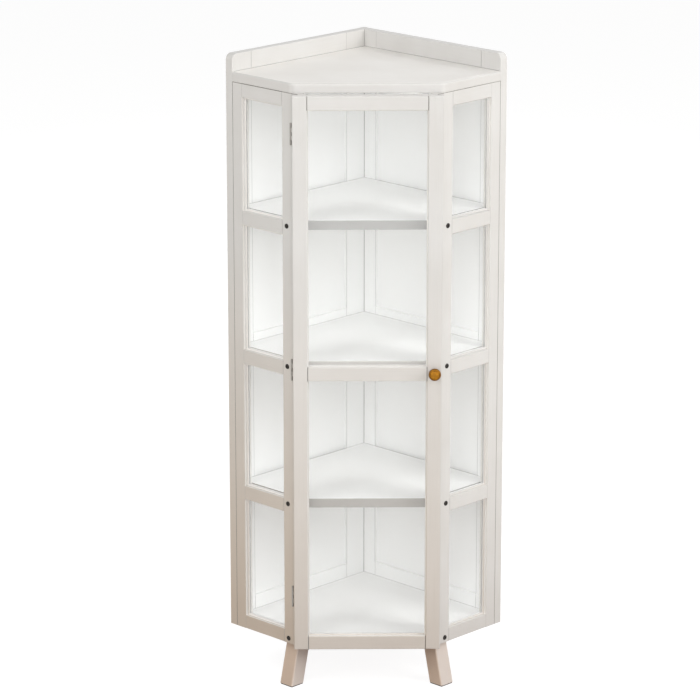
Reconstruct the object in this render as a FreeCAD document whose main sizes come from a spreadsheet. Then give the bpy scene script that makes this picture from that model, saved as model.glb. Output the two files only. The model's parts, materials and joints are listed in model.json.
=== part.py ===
import FreeCAD, Part
import math
import os

import Sketcher

# Corner display cabinet. Plus Z is up, the front faces minus Y, and the floor is at Z 0.
# Two framed back walls meet at a right angle behind, a glazed side frame stands square to the
# outer end of each, and one glazed door closes the front between them. Lengths are millimetres.

driving = {
    # walls at the back
    "wall_length": 450,
    "frame_thickness": 22,
    "wall_member_width": 60,
    "wall_panel_thickness": 8,
    "gallery_rise": 40,
    "gallery_round": 15,
    "wall_edge_round": 1.5,
    # side frames
    "side_width": 188,
    "side_stile_width": 30,
    "side_rail_height": 32,
    "side_rail_drop": 3,
    "side_edge_round": 1.2,
    "glass_thickness": 4,
    # joints between stiles, rails and panels
    "groove_depth": 8,
    "panel_play": 1,
    "carcass_joint_gap": 0.2,
    "door_joint_gap": 0.6,
    # heights
    "leg_height": 108,
    "carcass_height": 1302,
    "bottom_board_rise": 4,
    "shelf_pitch": 328,
    # boards
    "board_thickness": 22,
    "shelf_setback": 6.3,
    "shelf_edge_round": 1.5,
    "board_fit": 0.3,
    "top_thickness": 22,
    "top_corner_round": 22,
    "top_edge_round": 5,
    "top_lower_round": 1.5,
    # door
    "door_thickness": 24,
    "door_gap": 4,
    "door_reveal": 1,
    "door_stile_width": 34,
    "door_rail_height": 33,
    "door_middle_height": 660,
    "door_drop": 2,
    "door_top_gap": 1,
    "door_edge_round": 2.5,
    # knob
    "knob_diameter": 28,
    "knob_reach": 25,
    "knob_base_diameter": 17,
    "knob_base_thickness": 3,
    "knob_neck_diameter": 10,
    "knob_head_thickness": 11,
    "knob_edge_round": 3,
    "knob_ring_width": 1.2,
    "knob_lift": 4,
    "knob_screw_diameter": 4,
    "knob_screw_reach": 12,
    # butt hinges
    "hinge_length": 48,
    "hinge_leaf_width": 18,
    "hinge_leaf_thickness": 1.2,
    "hinge_knuckle_diameter": 4.2,
    "hinge_knuckle_gap": 0.3,
    "hinge_pin_diameter": 2,
    "hinge_pin_clearance": 0.05,
    "hinge_corner_gap": 0.35,
    "hinge_top_drop": 91,
    "hinge_bottom_rise": 120,
    "hinge_middle_lift": 4,
    "hinge_screw_spacing": 18,
    # fasteners
    "small_screw_diameter": 3,
    "small_screw_length": 13,
    "wall_screw_diameter": 4,
    "wall_screw_reach": 15,
    "side_bolt_diameter": 6,
    "side_bolt_head_diameter": 10,
    "side_bolt_head_thickness": 2,
    "side_bolt_socket": 4,
    "side_bolt_length": 42,
    "side_bolt_setback": 16,
    "side_bolt_drop": 14,
    "dowel_diameter": 8,
    "dowel_length": 30,
    "hole_clearance": 0.05,
    # magnetic catch
    "catch_length": 46,
    "catch_depth": 15,
    "catch_height": 13,
    "catch_side_gap": 20.6,
    "catch_gap": 0.3,
    "catch_plate_length": 32,
    "catch_plate_height": 11,
    "catch_plate_thickness": 1.5,
    # legs
    "leg_width": 40,
    "leg_splay": 13,
    "leg_setback": 5,
    "leg_fit": 0.5,
    "leg_edge_round": 4,
    "rear_leg_fit": 2,
    "leg_plate_thickness": 2.5,
    "leg_plate_inset": 3,
    "leg_bolt_diameter": 8,
    "leg_bolt_in_leg": 32,
    "leg_bolt_in_board": 14,
    "glide_thickness": 3,
    "glide_inset": 2,
}

doc = FreeCAD.newDocument("corner_cabinet")
sheet = doc.addObject("Spreadsheet::Sheet", "sizes")
for row, (name, number) in enumerate(driving.items(), start=1):
    sheet.set(f"A{row}", name)
    sheet.set(f"B{row}", str(number))
    sheet.setAlias(f"B{row}", name)
doc.recompute()


def size(name):
    return float(sheet.get(name))


# Directions: along the right wall and along the left wall, away from the back corner.
up = FreeCAD.Vector(0, 0, 1)
down = FreeCAD.Vector(0, 0, -1)
across = FreeCAD.Vector(1, 0, 0)
forward = FreeCAD.Vector(0, -1, 0)
backward = FreeCAD.Vector(0, 1, 0)
along_right = FreeCAD.Vector(1, -1, 0).normalize()
along_left = FreeCAD.Vector(-1, -1, 0).normalize()
wall_way = {"right": along_right, "left": along_left}
side_way = {"right": along_left, "left": along_right}

# Plan. The front plane crosses both wall directions at the same summed distance.
wall_length = size("wall_length")
frame_thickness = size("frame_thickness")
front_sum = wall_length + frame_thickness + size("side_width")
carcass_depth = front_sum / math.sqrt(2)
front_half = (wall_length - frame_thickness - size("side_width")) / math.sqrt(2)
door_reach = size("door_gap") + size("door_thickness")
overall_depth = carcass_depth + door_reach + size("knob_reach")
back_y = overall_depth / 2
front_y = back_y - carcass_depth
side_inner = wall_length - frame_thickness

# Heights above the floor.
base_z = size("leg_height")
top_z = base_z + size("carcass_height")
gallery_z = top_z + size("top_thickness") + size("gallery_rise")
bottom_board_z = base_z + size("bottom_board_rise")
shelf_z = [bottom_board_z + size("shelf_pitch") * level for level in range(1, 4)]
board_heights = dict(zip(("bottom_board", "lower_shelf", "middle_shelf", "upper_shelf"),
                         [bottom_board_z] + shelf_z))
door_bottom_z = base_z - size("door_drop")
door_top_z = top_z - size("door_top_gap")
door_middle_z = base_z + size("door_middle_height")
wall_middle_z = shelf_z[1] + size("board_thickness") / 2 - size("wall_member_width") / 2
hinge_z = [
    base_z + size("hinge_bottom_rise"),
    door_middle_z + size("hinge_middle_lift"),
    door_top_z - size("hinge_top_drop"),
]

# Every finished sub-part by name, and the holes that other pieces need in it.
finished = {}
holes = {}


def at(right, left, height):
    """Point at distances along the two walls from the outer back corner."""
    corner = FreeCAD.Vector(0, back_y, height)
    return corner + along_right * right + along_left * left


def on_side(hand, along_wall, from_wall, height):
    """Point at a distance along that hand's wall and another square out from its rear face."""
    if hand == "right":
        return at(along_wall, from_wall, height)
    return at(from_wall, along_wall, height)


def bind(item, **expressions):
    for name, expression in expressions.items():
        item.setExpression(name, expression)


def place(item, origin, x_axis, z_axis):
    turn = FreeCAD.Rotation(x_axis, z_axis.cross(x_axis), z_axis, "XZY")
    item.Placement = FreeCAD.Placement(origin, turn)


def new_body(label):
    body = doc.addObject("PartDesign::Body", label)
    body.Label = label
    return body


def new_sketch(body, role):
    sketch = body.newObject("Sketcher::SketchObject", "outline")
    planes = [item for item in body.Origin.OriginFeatures if item.Role == role]
    sketch.AttachmentSupport = [(planes[0], "")]
    sketch.MapMode = "FlatFace"
    return sketch


# Corners are first drawn on a circle clear of both axes, and then moved by their constraints.
first_circle_radius = 50
first_circle_middle = 4 * first_circle_radius


def draw_polygon(sketch, corners):
    """Closed outline whose corners are held from the sketch origin by expressions."""
    first = sketch.GeometryCount
    count = len(corners)
    middle = FreeCAD.Vector(first_circle_middle, first_circle_middle, 0)
    start = []
    for n in range(count):
        turn = 2 * math.pi * n / count
        start.append(middle + FreeCAD.Vector(math.cos(turn), math.sin(turn), 0)
                     * first_circle_radius)
    sides = [Part.LineSegment(start[n], start[(n + 1) % count]) for n in range(count)]
    sketch.addGeometry(sides, False)
    for n in range(count):
        following = first + (n + 1) % count
        sketch.addConstraint(Sketcher.Constraint("Coincident", first + n, 2, following, 1))
    for n, corner in enumerate(corners, start=first):
        for kind, axis, expression in zip(("DistanceX", "DistanceY"), (-2, -1), corner):
            hold_corner(sketch, n, kind, axis, expression)


def hold_corner(sketch, side, kind, axis, expression):
    if expression == "0":
        sketch.addConstraint(Sketcher.Constraint("PointOnObject", side, 1, axis))
        return
    index = sketch.addConstraint(Sketcher.Constraint(kind, -1, 1, side, 1, 10.0))
    name = f"{kind}{side}"
    sketch.renameConstraint(index, name)
    sketch.setExpression(f"Constraints.{name}", expression)


def draw_rectangle(sketch, left, right, low, high):
    draw_polygon(sketch, [(left, low), (right, low), (right, high), (left, high)])


def add_pad(body, sketch, length):
    pad = body.newObject("PartDesign::Pad", "pad")
    pad.Profile = sketch
    bind(pad, Length=length)
    return pad


def add_pocket_through(body, sketch):
    """Cut the sketch's outlines right through the body, to both sides of its plane."""
    doc.recompute()
    before = body.Shape.Volume
    pocket = body.newObject("PartDesign::Pocket", "pocket")
    pocket.Profile = sketch
    pocket.Type = "ThroughAll"
    pocket.SideType = "Symmetric"
    doc.recompute()
    if body.Shape.Volume >= before:
        raise RuntimeError(f"{body.Label}: a pocket removed nothing")


def add_fillet(body, radius, wanted):
    """Round the edges for which wanted(middle, direction) is true."""
    doc.recompute()
    base = body.Tip
    names = []
    for number, edge in enumerate(base.Shape.Edges, start=1):
        ends = [vertex.Point for vertex in edge.Vertexes]
        if len(ends) == 2 and wanted((ends[0] + ends[1]) * 0.5, ends[1] - ends[0]):
            names.append(f"Edge{number}")
    fillet = body.newObject("PartDesign::Fillet", "fillet")
    fillet.Base = (base, names)
    bind(fillet, Radius=radius)


def near(value, *targets):
    return any(abs(value - target) < 0.01 for target in targets)


def runs(direction, axis):
    """True when an edge runs along one of the body's own axes, 0, 1 or 2."""
    return near(abs(direction[axis]), direction.Length)


def finish(label, item):
    finished[label] = item


# Thickness, groove width, shoulder gap and edge rounding of each kind of frame.
member_kinds = {
    "wall": (
        "sizes.frame_thickness",
        "sizes.wall_panel_thickness",
        "sizes.carcass_joint_gap",
        "sizes.wall_edge_round",
    ),
    "side": (
        "sizes.frame_thickness",
        "sizes.glass_thickness",
        "sizes.carcass_joint_gap",
        "sizes.side_edge_round",
    ),
    "door": (
        "sizes.door_thickness",
        "sizes.glass_thickness",
        "sizes.door_joint_gap",
        "sizes.door_edge_round",
    ),
}


def frame_member(label, length, width, kind, low_groove=False, high_groove=False,
                 tongued=False, mitred=False, rounded_ends=(), outer_side=None):
    """A stile or rail: X runs along it, Y through its thickness, Z across its width.

    A groove for the panel or glass runs along one or both edges. A tongued member ends in
    tongues that fill the grooves of the members it meets. A mitred one has its high edge cut
    at 45 degrees, longer at the far face.
    """
    thickness, groove, gap, rounding = member_kinds[kind]
    body = new_body(label)
    reach = f"({width} + {thickness})" if mitred else width
    section = new_sketch(body, "YZ_Plane")
    draw_polygon(section, [("0", "0"), (thickness, "0"), (thickness, reach), ("0", width)])
    add_pad(body, section, length)

    groove_near = f"({thickness} - {groove}) / 2"
    groove_far = f"({thickness} + {groove}) / 2"
    if low_groove or high_groove:
        grooves = new_sketch(body, "YZ_Plane")
        if low_groove:
            draw_rectangle(grooves, groove_near, groove_far, "0", "sizes.groove_depth")
        if high_groove:
            floor = f"{width} - sizes.groove_depth"
            draw_rectangle(grooves, groove_near, groove_far, floor, width)
        add_pocket_through(body, grooves)
    if tongued:
        shoulder = f"(sizes.groove_depth + {gap})"
        cheeks = new_sketch(body, "XY_Plane")
        for start, end in (("0", shoulder), (f"{length} - {shoulder}", length)):
            draw_rectangle(cheeks, start, end, "0", groove_near)
            draw_rectangle(cheeks, start, end, groove_far, thickness)
        add_pocket_through(body, cheeks)

    doc.recompute()
    box = body.Shape.BoundBox
    long, deep = box.XMax, box.YMax
    near_high = box.ZMax - deep if mitred else box.ZMax

    def is_long_corner(middle, direction):
        if not runs(direction, 0):
            return False
        if near(middle.y, 0):
            return near(middle.z, 0, near_high)
        return near(middle.y, deep) and near(middle.z, 0, box.ZMax)

    def is_end_corner(middle, direction):
        if not near(middle.x, *[long * end for end in rounded_ends]):
            return False
        if runs(direction, 2):
            return near(middle.y, 0, deep)
        outer = {"low": 0, "high": box.ZMax}.get(outer_side)
        return outer is not None and runs(direction, 1) and near(middle.z, outer)

    def is_rounded(middle, direction):
        return is_long_corner(middle, direction) or is_end_corner(middle, direction)

    add_fillet(body, rounding, is_rounded)
    return body


def sheet_panel(label, length, height, thickness, origin, x_axis):
    """A flat panel or pane standing upright, with X along it and Z up."""
    panel = doc.addObject("Part::Box", label)
    panel.Label = label
    bind(panel, Length=length, Width=thickness, Height=height)
    place(panel, origin, x_axis, up)
    return panel


def add_cylinder(label, radius, length, start, direction):
    rod = doc.addObject("Part::Cylinder", label)
    bind(rod, Radius=radius, Height=length)
    rod.Placement = FreeCAD.Placement(start, FreeCAD.Rotation(up, direction))
    return rod


def add_cone(label, wide, narrow, length, start, direction):
    cone = doc.addObject("Part::Cone", label)
    bind(cone, Radius1=wide, Radius2=narrow, Height=length)
    cone.Placement = FreeCAD.Placement(start, FreeCAD.Rotation(up, direction))
    return cone


def fuse(label, items):
    joined = doc.addObject("Part::MultiFuse", label)
    joined.Label = label
    joined.Shapes = items
    return joined


def cut(label, base, tools):
    drill = doc.addObject("Part::Compound", "tools")
    drill.Links = tools
    result = doc.addObject("Part::Cut", label)
    result.Label = label
    result.Base = base
    result.Tool = drill
    return result


def group(label, items):
    """Identical pieces that share one name."""
    compound = doc.addObject("Part::Compound", label)
    compound.Label = label
    compound.Links = items
    finish(label, compound)


def bore(nodes, radius, length, start, direction):
    """A hole through each named piece for a rod of that radius, with the hole clearance."""
    wide = f"{radius} + sizes.hole_clearance"
    for node in nodes:
        tool = add_cylinder("hole", wide, length, start, direction)
        holes.setdefault(node, []).append(tool)


def countersunk_screw(nodes, diameter, length, start, direction):
    """A screw with a cone head flush at start, and its holes in the pieces it joins."""
    radius = f"{diameter} / 2"
    screw = fuse("screw", screw_solids(radius, length, "0", start, direction))
    for node in nodes:
        tools = screw_solids(radius, length, "sizes.hole_clearance", start, direction)
        holes.setdefault(node, []).extend(tools)
    return screw


def screw_solids(radius, length, spare, start, direction):
    head = add_cone("head", f"2 * {radius} + {spare}", f"{radius} + {spare}", radius,
                    start, direction)
    shank = add_cylinder("shank", f"{radius} + {spare}", f"{length} + {spare}", start, direction)
    return [head, shank]


def back_walls():
    """Two framed walls: outer and corner stiles, three rails and two panels each.

    The right wall runs through to the outer back corner, and the left wall butts on it.
    """
    width = size("wall_member_width")
    height = "sizes.carcass_height + sizes.top_thickness + sizes.gallery_rise"
    stile_width = "sizes.wall_member_width"
    for hand, start, start_text in (("right", 0, "0"),
                                    ("left", frame_thickness, "sizes.frame_thickness")):
        along = wall_way[hand]
        face = 0 if hand == "right" else frame_thickness
        corner = frame_member(f"wall_{hand}_corner_stile", height, stile_width, "wall",
                              high_groove=True, rounded_ends=(1,))
        place(corner, on_side(hand, start, face, base_z), up, along)
        outer = outer_wall_stile(f"wall_{hand}_outer_stile", height, stile_width)
        place(outer, on_side(hand, wall_length - width, face, base_z), up, along)
        finish(corner.Label, corner)
        finish(outer.Label, outer)
        wall_rails(hand, start, start_text)
        wall_panels(hand, start, start_text)


def outer_wall_stile(label, height, width):
    """The stile at a wall's free end, whose upper corner is rounded off in the wall's plane."""
    body = new_body(label)
    thickness, groove = member_kinds["wall"][:2]
    section = new_sketch(body, "YZ_Plane")
    draw_rectangle(section, "0", thickness, "0", width)
    add_pad(body, section, height)
    doc.recompute()
    box = body.Shape.BoundBox

    def is_gallery_corner(middle, direction):
        return runs(direction, 1) and near(middle.x, box.XMax) and near(middle.z, box.ZMax)

    def is_arris(middle, direction):
        lengthwise = runs(direction, 0) and near(middle.z, 0, box.ZMax)
        across_top = runs(direction, 2) and near(middle.x, box.XMax)
        return near(middle.y, 0, box.YMax) and (lengthwise or across_top)

    add_fillet(body, "sizes.gallery_round", is_gallery_corner)
    add_fillet(body, "sizes.wall_edge_round", is_arris)
    panel_groove = new_sketch(body, "YZ_Plane")
    draw_rectangle(panel_groove, f"({thickness} - {groove}) / 2", f"({thickness} + {groove}) / 2",
                   "0", "sizes.groove_depth")
    add_pocket_through(body, panel_groove)
    return body


def wall_rails(hand, start, start_text):
    width = size("wall_member_width")
    length = f"(sizes.wall_length - {start_text} - 2 * sizes.wall_member_width"
    length += " + 2 * sizes.groove_depth)"
    rails = (
        ("bottom_rail", base_z, False, True),
        ("middle_rail", wall_middle_z, True, True),
        ("top_rail", gallery_z - width, True, False),
    )
    distance = start + width - size("groove_depth")
    face = frame_thickness if hand == "right" else 0
    for name, height, low, high in rails:
        rail = frame_member(f"wall_{hand}_{name}", length, "sizes.wall_member_width", "wall",
                            low_groove=low, high_groove=high, tongued=True)
        place(rail, on_side(hand, distance, face, height), wall_way[hand], up)
        finish(rail.Label, rail)


def wall_panels(hand, start, start_text):
    """Panels that stand in the grooves, with a little play at every edge."""
    width = size("wall_member_width")
    bite = size("groove_depth") - size("panel_play")
    overlap = "2 * (sizes.groove_depth - sizes.panel_play)"
    length = f"sizes.wall_length - {start_text} - 2 * sizes.wall_member_width + {overlap}"
    middle = "sizes.bottom_board_rise + 2 * sizes.shelf_pitch + sizes.board_thickness / 2"
    lower = f"{middle} - 1.5 * sizes.wall_member_width + {overlap}"
    whole = "sizes.carcass_height + sizes.top_thickness + sizes.gallery_rise"
    upper = f"{whole} - ({middle}) - 1.5 * sizes.wall_member_width + {overlap}"
    inset = (frame_thickness - size("wall_panel_thickness")) / 2
    face = frame_thickness - inset if hand == "right" else inset
    distance = start + width - bite
    panels = (
        ("lower_panel", lower, base_z + width - bite),
        ("upper_panel", upper, wall_middle_z + width - bite),
    )
    for name, height, low_z in panels:
        label = f"wall_{hand}_{name}"
        panel = sheet_panel(label, length, height, "sizes.wall_panel_thickness",
                            on_side(hand, distance, face, low_z), wall_way[hand])
        finish(label, panel)


def side_rail_heights():
    """Underside of each rail of a side frame, bottom to top."""
    drop = size("side_rail_drop") + size("side_rail_height")
    shelf_tops = [height + size("board_thickness") for height in shelf_z]
    return [base_z] + [top - drop for top in shelf_tops] + [top_z - size("side_rail_height")]


def side_frames():
    """Glazed frames from the walls' outer ends to the front corners, four panes each."""
    heights = side_rail_heights()
    stile = size("side_stile_width")
    front_stile = frame_thickness + size("side_width") - stile
    for hand in ("right", "left"):
        rear = frame_member(f"side_{hand}_rear_stile", "sizes.carcass_height",
                            "sizes.side_stile_width", "side", high_groove=True)
        front = frame_member(f"side_{hand}_front_stile", "sizes.carcass_height",
                             "sizes.side_stile_width", "side", low_groove=True, mitred=True)
        # the stiles of the two hands stand opposite ways up, so that one profile fits both
        length_way, end_z = (up, base_z) if hand == "right" else (down, top_z)
        for body, distance in ((rear, frame_thickness), (front, front_stile)):
            origin = on_side(hand, wall_length, distance, end_z)
            place(body, origin, length_way, side_way[hand])
            finish(body.Label, body)
        side_rails(hand, heights)
        side_panes(hand, heights)


def side_rails(hand, heights):
    length = "(sizes.side_width - 2 * sizes.side_stile_width + 2 * sizes.groove_depth)"
    distance = frame_thickness + size("side_stile_width") - size("groove_depth")
    face = side_inner if hand == "right" else wall_length
    names = ("bottom_rail", "lower_rail", "middle_rail", "upper_rail", "top_rail")
    for name, height in zip(names, heights):
        rail = frame_member(f"side_{hand}_{name}", length, "sizes.side_rail_height", "side",
                            low_groove=name != "bottom_rail", high_groove=name != "top_rail",
                            tongued=True)
        place(rail, on_side(hand, face, distance, height), side_way[hand], up)
        finish(rail.Label, rail)


def side_panes(hand, heights):
    length = "sizes.side_width - 2 * sizes.side_stile_width"
    length += " + 2 * (sizes.groove_depth - sizes.panel_play)"
    bite = "2 * (sizes.groove_depth - sizes.panel_play)"
    rail = "sizes.side_rail_height"
    first = "sizes.bottom_board_rise + sizes.shelf_pitch + sizes.board_thickness"
    shelf_rail = f"({first} - sizes.side_rail_drop - {rail})"
    last = f"(sizes.carcass_height - {rail} - {shelf_rail} - 2 * sizes.shelf_pitch - {rail})"
    clear_heights = (f"({shelf_rail} - {rail})", f"(sizes.shelf_pitch - {rail})",
                     f"(sizes.shelf_pitch - {rail})", last)
    reach = size("groove_depth") - size("panel_play")
    distance = frame_thickness + size("side_stile_width") - reach
    inset = (frame_thickness - size("glass_thickness")) / 2
    face = side_inner + inset if hand == "right" else wall_length - inset
    panes = []
    for level, clear in enumerate(clear_heights):
        low_z = heights[level] + size("side_rail_height") - reach
        panes.append(sheet_panel("pane", length, f"{clear} + {bite}", "sizes.glass_thickness",
                                 on_side(hand, face, distance, low_z), side_way[hand]))
    group(f"side_{hand}_panes", panes)


def board_outline(outer, front):
    """Five-sided plan of a board: back corner, right end, front edge, left end.

    Sketch X runs along the left wall and sketch Y along the right wall.
    """
    inner = "sizes.frame_thickness + sizes.board_fit"
    return [
        (inner, inner),
        (outer, inner),
        (outer, f"{front} - ({outer})"),
        (f"{front} - ({outer})", outer),
        (inner, outer),
    ]


def board(label, height, outer, front, thickness):
    body = new_body(label)
    plan = new_sketch(body, "XY_Plane")
    draw_polygon(plan, board_outline(outer, front))
    add_pad(body, plan, thickness)
    place(body, at(0, 0, height), along_left, up)
    return body


def is_front_of(outline_sum):
    """Test for edges that lie on a board's front plane."""
    def test(middle, direction):
        level = near(direction.z, 0)
        return level and near(middle.x + middle.y, outline_sum) and near(direction.x, -direction.y)
    return test


def shelves():
    outer = "sizes.wall_length - sizes.frame_thickness - sizes.board_fit"
    front = "(sizes.wall_length + sizes.frame_thickness + sizes.side_width"
    front += " - sizes.shelf_setback * sqrt(2))"
    front_edge = front_sum - size("shelf_setback") * math.sqrt(2)
    for name, height in board_heights.items():
        body = board(name, height, outer, front, "sizes.board_thickness")
        add_fillet(body, "sizes.shelf_edge_round", is_front_of(front_edge))
        finish(name, body)


def top_board():
    """The top lies over the side frames between the walls, with rounded front corners."""
    front = "(sizes.wall_length + sizes.frame_thickness + sizes.side_width)"
    body = board("top_board", top_z, "sizes.wall_length", front, "sizes.top_thickness")
    inner = frame_thickness + size("board_fit")
    side_corner = front_sum - wall_length

    def is_front_corner(middle, direction):
        upright = near(direction.x, 0) and near(direction.y, 0)
        return upright and near(min(middle.x, middle.y), side_corner)

    def is_open_edge(level):
        def test(middle, direction):
            open_side = not near(middle.x, inner) and not near(middle.y, inner)
            return open_side and near(middle.z, level) and near(direction.z, 0)
        return test

    add_fillet(body, "sizes.top_corner_round", is_front_corner)
    add_fillet(body, "sizes.top_edge_round", is_open_edge(size("top_thickness")))
    add_fillet(body, "sizes.top_lower_round", is_open_edge(0))
    finish("top_board", body)


def door_half():
    return front_half - size("door_reveal")


def door_frame():
    """Two stiles and three rails, standing off the front plane by the door gap."""
    back_face = front_y - size("door_gap")
    front_face = back_face - size("door_thickness")
    height = "sizes.carcass_height - sizes.door_top_gap + sizes.door_drop"
    stile_width = size("door_stile_width")
    hinge_side = frame_member("door_hinge_stile", height, "sizes.door_stile_width", "door",
                              high_groove=True, rounded_ends=(0, 1), outer_side="low")
    place(hinge_side, FreeCAD.Vector(-door_half(), back_face, door_bottom_z), up, across)
    knob_side = frame_member("door_knob_stile", height, "sizes.door_stile_width", "door",
                             low_groove=True, rounded_ends=(0, 1), outer_side="high")
    knob_x = door_half() - stile_width
    place(knob_side, FreeCAD.Vector(knob_x, back_face, door_bottom_z), up, across)
    finish("door_hinge_stile", hinge_side)
    finish("door_knob_stile", knob_side)

    rail = size("door_rail_height")
    rails = (
        ("door_bottom_rail", door_bottom_z, False, True),
        ("door_middle_rail", door_middle_z - rail / 2, True, True),
        ("door_top_rail", door_top_z - rail, True, False),
    )
    length = f"({door_clear_width} + 2 * sizes.groove_depth)"
    left = -door_half() + stile_width - size("groove_depth")
    for name, low_z, low, high in rails:
        body = frame_member(name, length, "sizes.door_rail_height", "door",
                            low_groove=low, high_groove=high, tongued=True)
        place(body, FreeCAD.Vector(left, front_face, low_z), across, up)
        finish(name, body)


# Width between the door's stiles.
door_clear_width = (
    "((sizes.wall_length - sizes.frame_thickness - sizes.side_width) * sqrt(2)"
    " - 2 * sizes.door_reveal - 2 * sizes.door_stile_width)"
)


def door_glass():
    bite = "2 * (sizes.groove_depth - sizes.panel_play)"
    reach = size("groove_depth") - size("panel_play")
    rail = size("door_rail_height")
    left = -door_half() + size("door_stile_width") - reach
    glass_y = front_y - size("door_gap") - (size("door_thickness") + size("glass_thickness")) / 2
    lower = "sizes.door_middle_height + sizes.door_drop - 1.5 * sizes.door_rail_height"
    upper = "sizes.carcass_height - sizes.door_top_gap - sizes.door_middle_height"
    upper += " - 1.5 * sizes.door_rail_height"
    panes = (
        ("door_lower_glass", lower, door_bottom_z + rail - reach),
        ("door_upper_glass", upper, door_middle_z + rail / 2 - reach),
    )
    for name, height, low_z in panes:
        origin = FreeCAD.Vector(left, glass_y, low_z)
        pane = sheet_panel(name, f"{door_clear_width} + {bite}", f"{height} + {bite}",
                           "sizes.glass_thickness", origin, across)
        finish(name, pane)


def knob():
    """A turned knob: base flange, neck and a flat round head with a ring turned in its face."""
    body = new_body("door_knob")
    profile = new_sketch(body, "XZ_Plane")
    base = "sizes.knob_base_diameter / 2"
    neck = "sizes.knob_neck_diameter / 2"
    head = "sizes.knob_diameter / 2"
    head_back = "sizes.knob_reach - sizes.knob_head_thickness"
    ring_outer = "sizes.knob_diameter / 2 - sizes.knob_edge_round - sizes.knob_ring_width"
    ring_inner = f"{ring_outer} - sizes.knob_ring_width"
    ring_floor = "sizes.knob_reach - sizes.knob_ring_width / 2"
    draw_polygon(profile, [
        ("0", "0"),
        (base, "0"),
        (base, "sizes.knob_base_thickness"),
        (neck, "sizes.knob_base_thickness"),
        (neck, head_back),
        (head, head_back),
        (head, "sizes.knob_reach"),
        (ring_outer, "sizes.knob_reach"),
        (ring_outer, ring_floor),
        (ring_inner, ring_floor),
        (ring_inner, "sizes.knob_reach"),
        ("0", "sizes.knob_reach"),
    ])
    turning = body.newObject("PartDesign::Revolution", "turning")
    turning.Profile = profile
    turning.ReferenceAxis = (profile, ["V_Axis"])
    turning.Angle = 360
    doc.recompute()
    head_radius = size("knob_diameter") / 2

    def is_head_rim(edge):
        circle = edge.Curve
        return hasattr(circle, "Radius") and near(circle.Radius, head_radius)

    rims = [f"Edge{n}" for n, edge in enumerate(turning.Shape.Edges, 1) if is_head_rim(edge)]
    fillet = body.newObject("PartDesign::Fillet", "rim")
    fillet.Base = (turning, rims)
    bind(fillet, Radius="sizes.knob_edge_round")
    knob_x = door_half() - size("door_stile_width") / 2
    knob_z = door_middle_z + size("knob_lift")
    face_y = front_y - door_reach
    origin = FreeCAD.Vector(knob_x, face_y, knob_z)
    place(body, origin, across, forward)
    finish("door_knob", body)
    screw_start = FreeCAD.Vector(knob_x, front_y - size("door_gap"), knob_z)
    length = "sizes.door_thickness + sizes.knob_screw_reach"
    screw = countersunk_screw(["door_knob_stile", "door_knob"], "sizes.knob_screw_diameter",
                              length, screw_start, forward)
    group("knob_screw", [screw])


def hinge_axis():
    """Plan of the hinges' axis: mid-gap, and just clear of the side frame's sloping face."""
    reach = size("hinge_knuckle_diameter") / 2 + size("hinge_corner_gap")
    offset = reach * math.sqrt(2) - size("door_gap") / 2
    return -front_half - offset, front_y - size("door_gap") / 2


def hinge_leaf(height, owned, low_y, toward, screw_nodes):
    """One leaf of a hinge: plate, its knuckles with their tabs, bore and screw holes.

    The owned knuckles are numbered from the bottom, of five. toward points from the leaf's
    open face into the wood it is screwed to.
    """
    half = size("hinge_length") / 2
    pitch = size("hinge_length") / 5
    pin_x, pin_y = hinge_axis()
    free = size("hinge_knuckle_diameter") / 2 + size("hinge_knuckle_gap")
    plate = doc.addObject("Part::Box", "plate")
    reach = "sizes.hinge_knuckle_diameter / 2 + sizes.hinge_knuckle_gap"
    bind(plate, Length=f"sizes.hinge_leaf_width - ({reach})",
         Width="sizes.hinge_leaf_thickness", Height="sizes.hinge_length")
    plate.Placement.Base = FreeCAD.Vector(pin_x + free, low_y, height - half)
    solids = [plate]
    segment = "(sizes.hinge_length / 5 - sizes.hinge_knuckle_gap)"
    for number in owned:
        low = height - half + pitch * number + size("hinge_knuckle_gap") / 2
        knuckle = add_cylinder("knuckle", "sizes.hinge_knuckle_diameter / 2", segment,
                               FreeCAD.Vector(pin_x, pin_y, low), up)
        tab = doc.addObject("Part::Box", "tab")
        bind(tab, Length=reach, Width="sizes.hinge_leaf_thickness", Height=segment)
        tab.Placement.Base = FreeCAD.Vector(pin_x, low_y, low)
        solids += [knuckle, tab]
    pin_hole = add_cylinder("pin_hole", "sizes.hinge_pin_diameter / 2 + sizes.hinge_pin_clearance",
                            "sizes.hinge_length", FreeCAD.Vector(pin_x, pin_y, height - half), up)
    screw_x = pin_x + (free + size("hinge_leaf_width")) / 2
    face_y = low_y if toward is backward else low_y + size("hinge_leaf_thickness")
    spacing = size("hinge_screw_spacing")
    screws = []
    screw_holes = []
    for offset in (-spacing, 0, spacing):
        start = FreeCAD.Vector(screw_x, face_y, height + offset)
        screws.append(countersunk_screw(screw_nodes, "sizes.small_screw_diameter",
                                        "sizes.small_screw_length", start, toward))
        screw_holes += screw_solids("sizes.small_screw_diameter / 2", "sizes.small_screw_length",
                                    "sizes.hole_clearance", start, toward)
    leaf = cut("leaf", fuse("blank", solids), [pin_hole] + screw_holes)
    return leaf, screws


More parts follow.
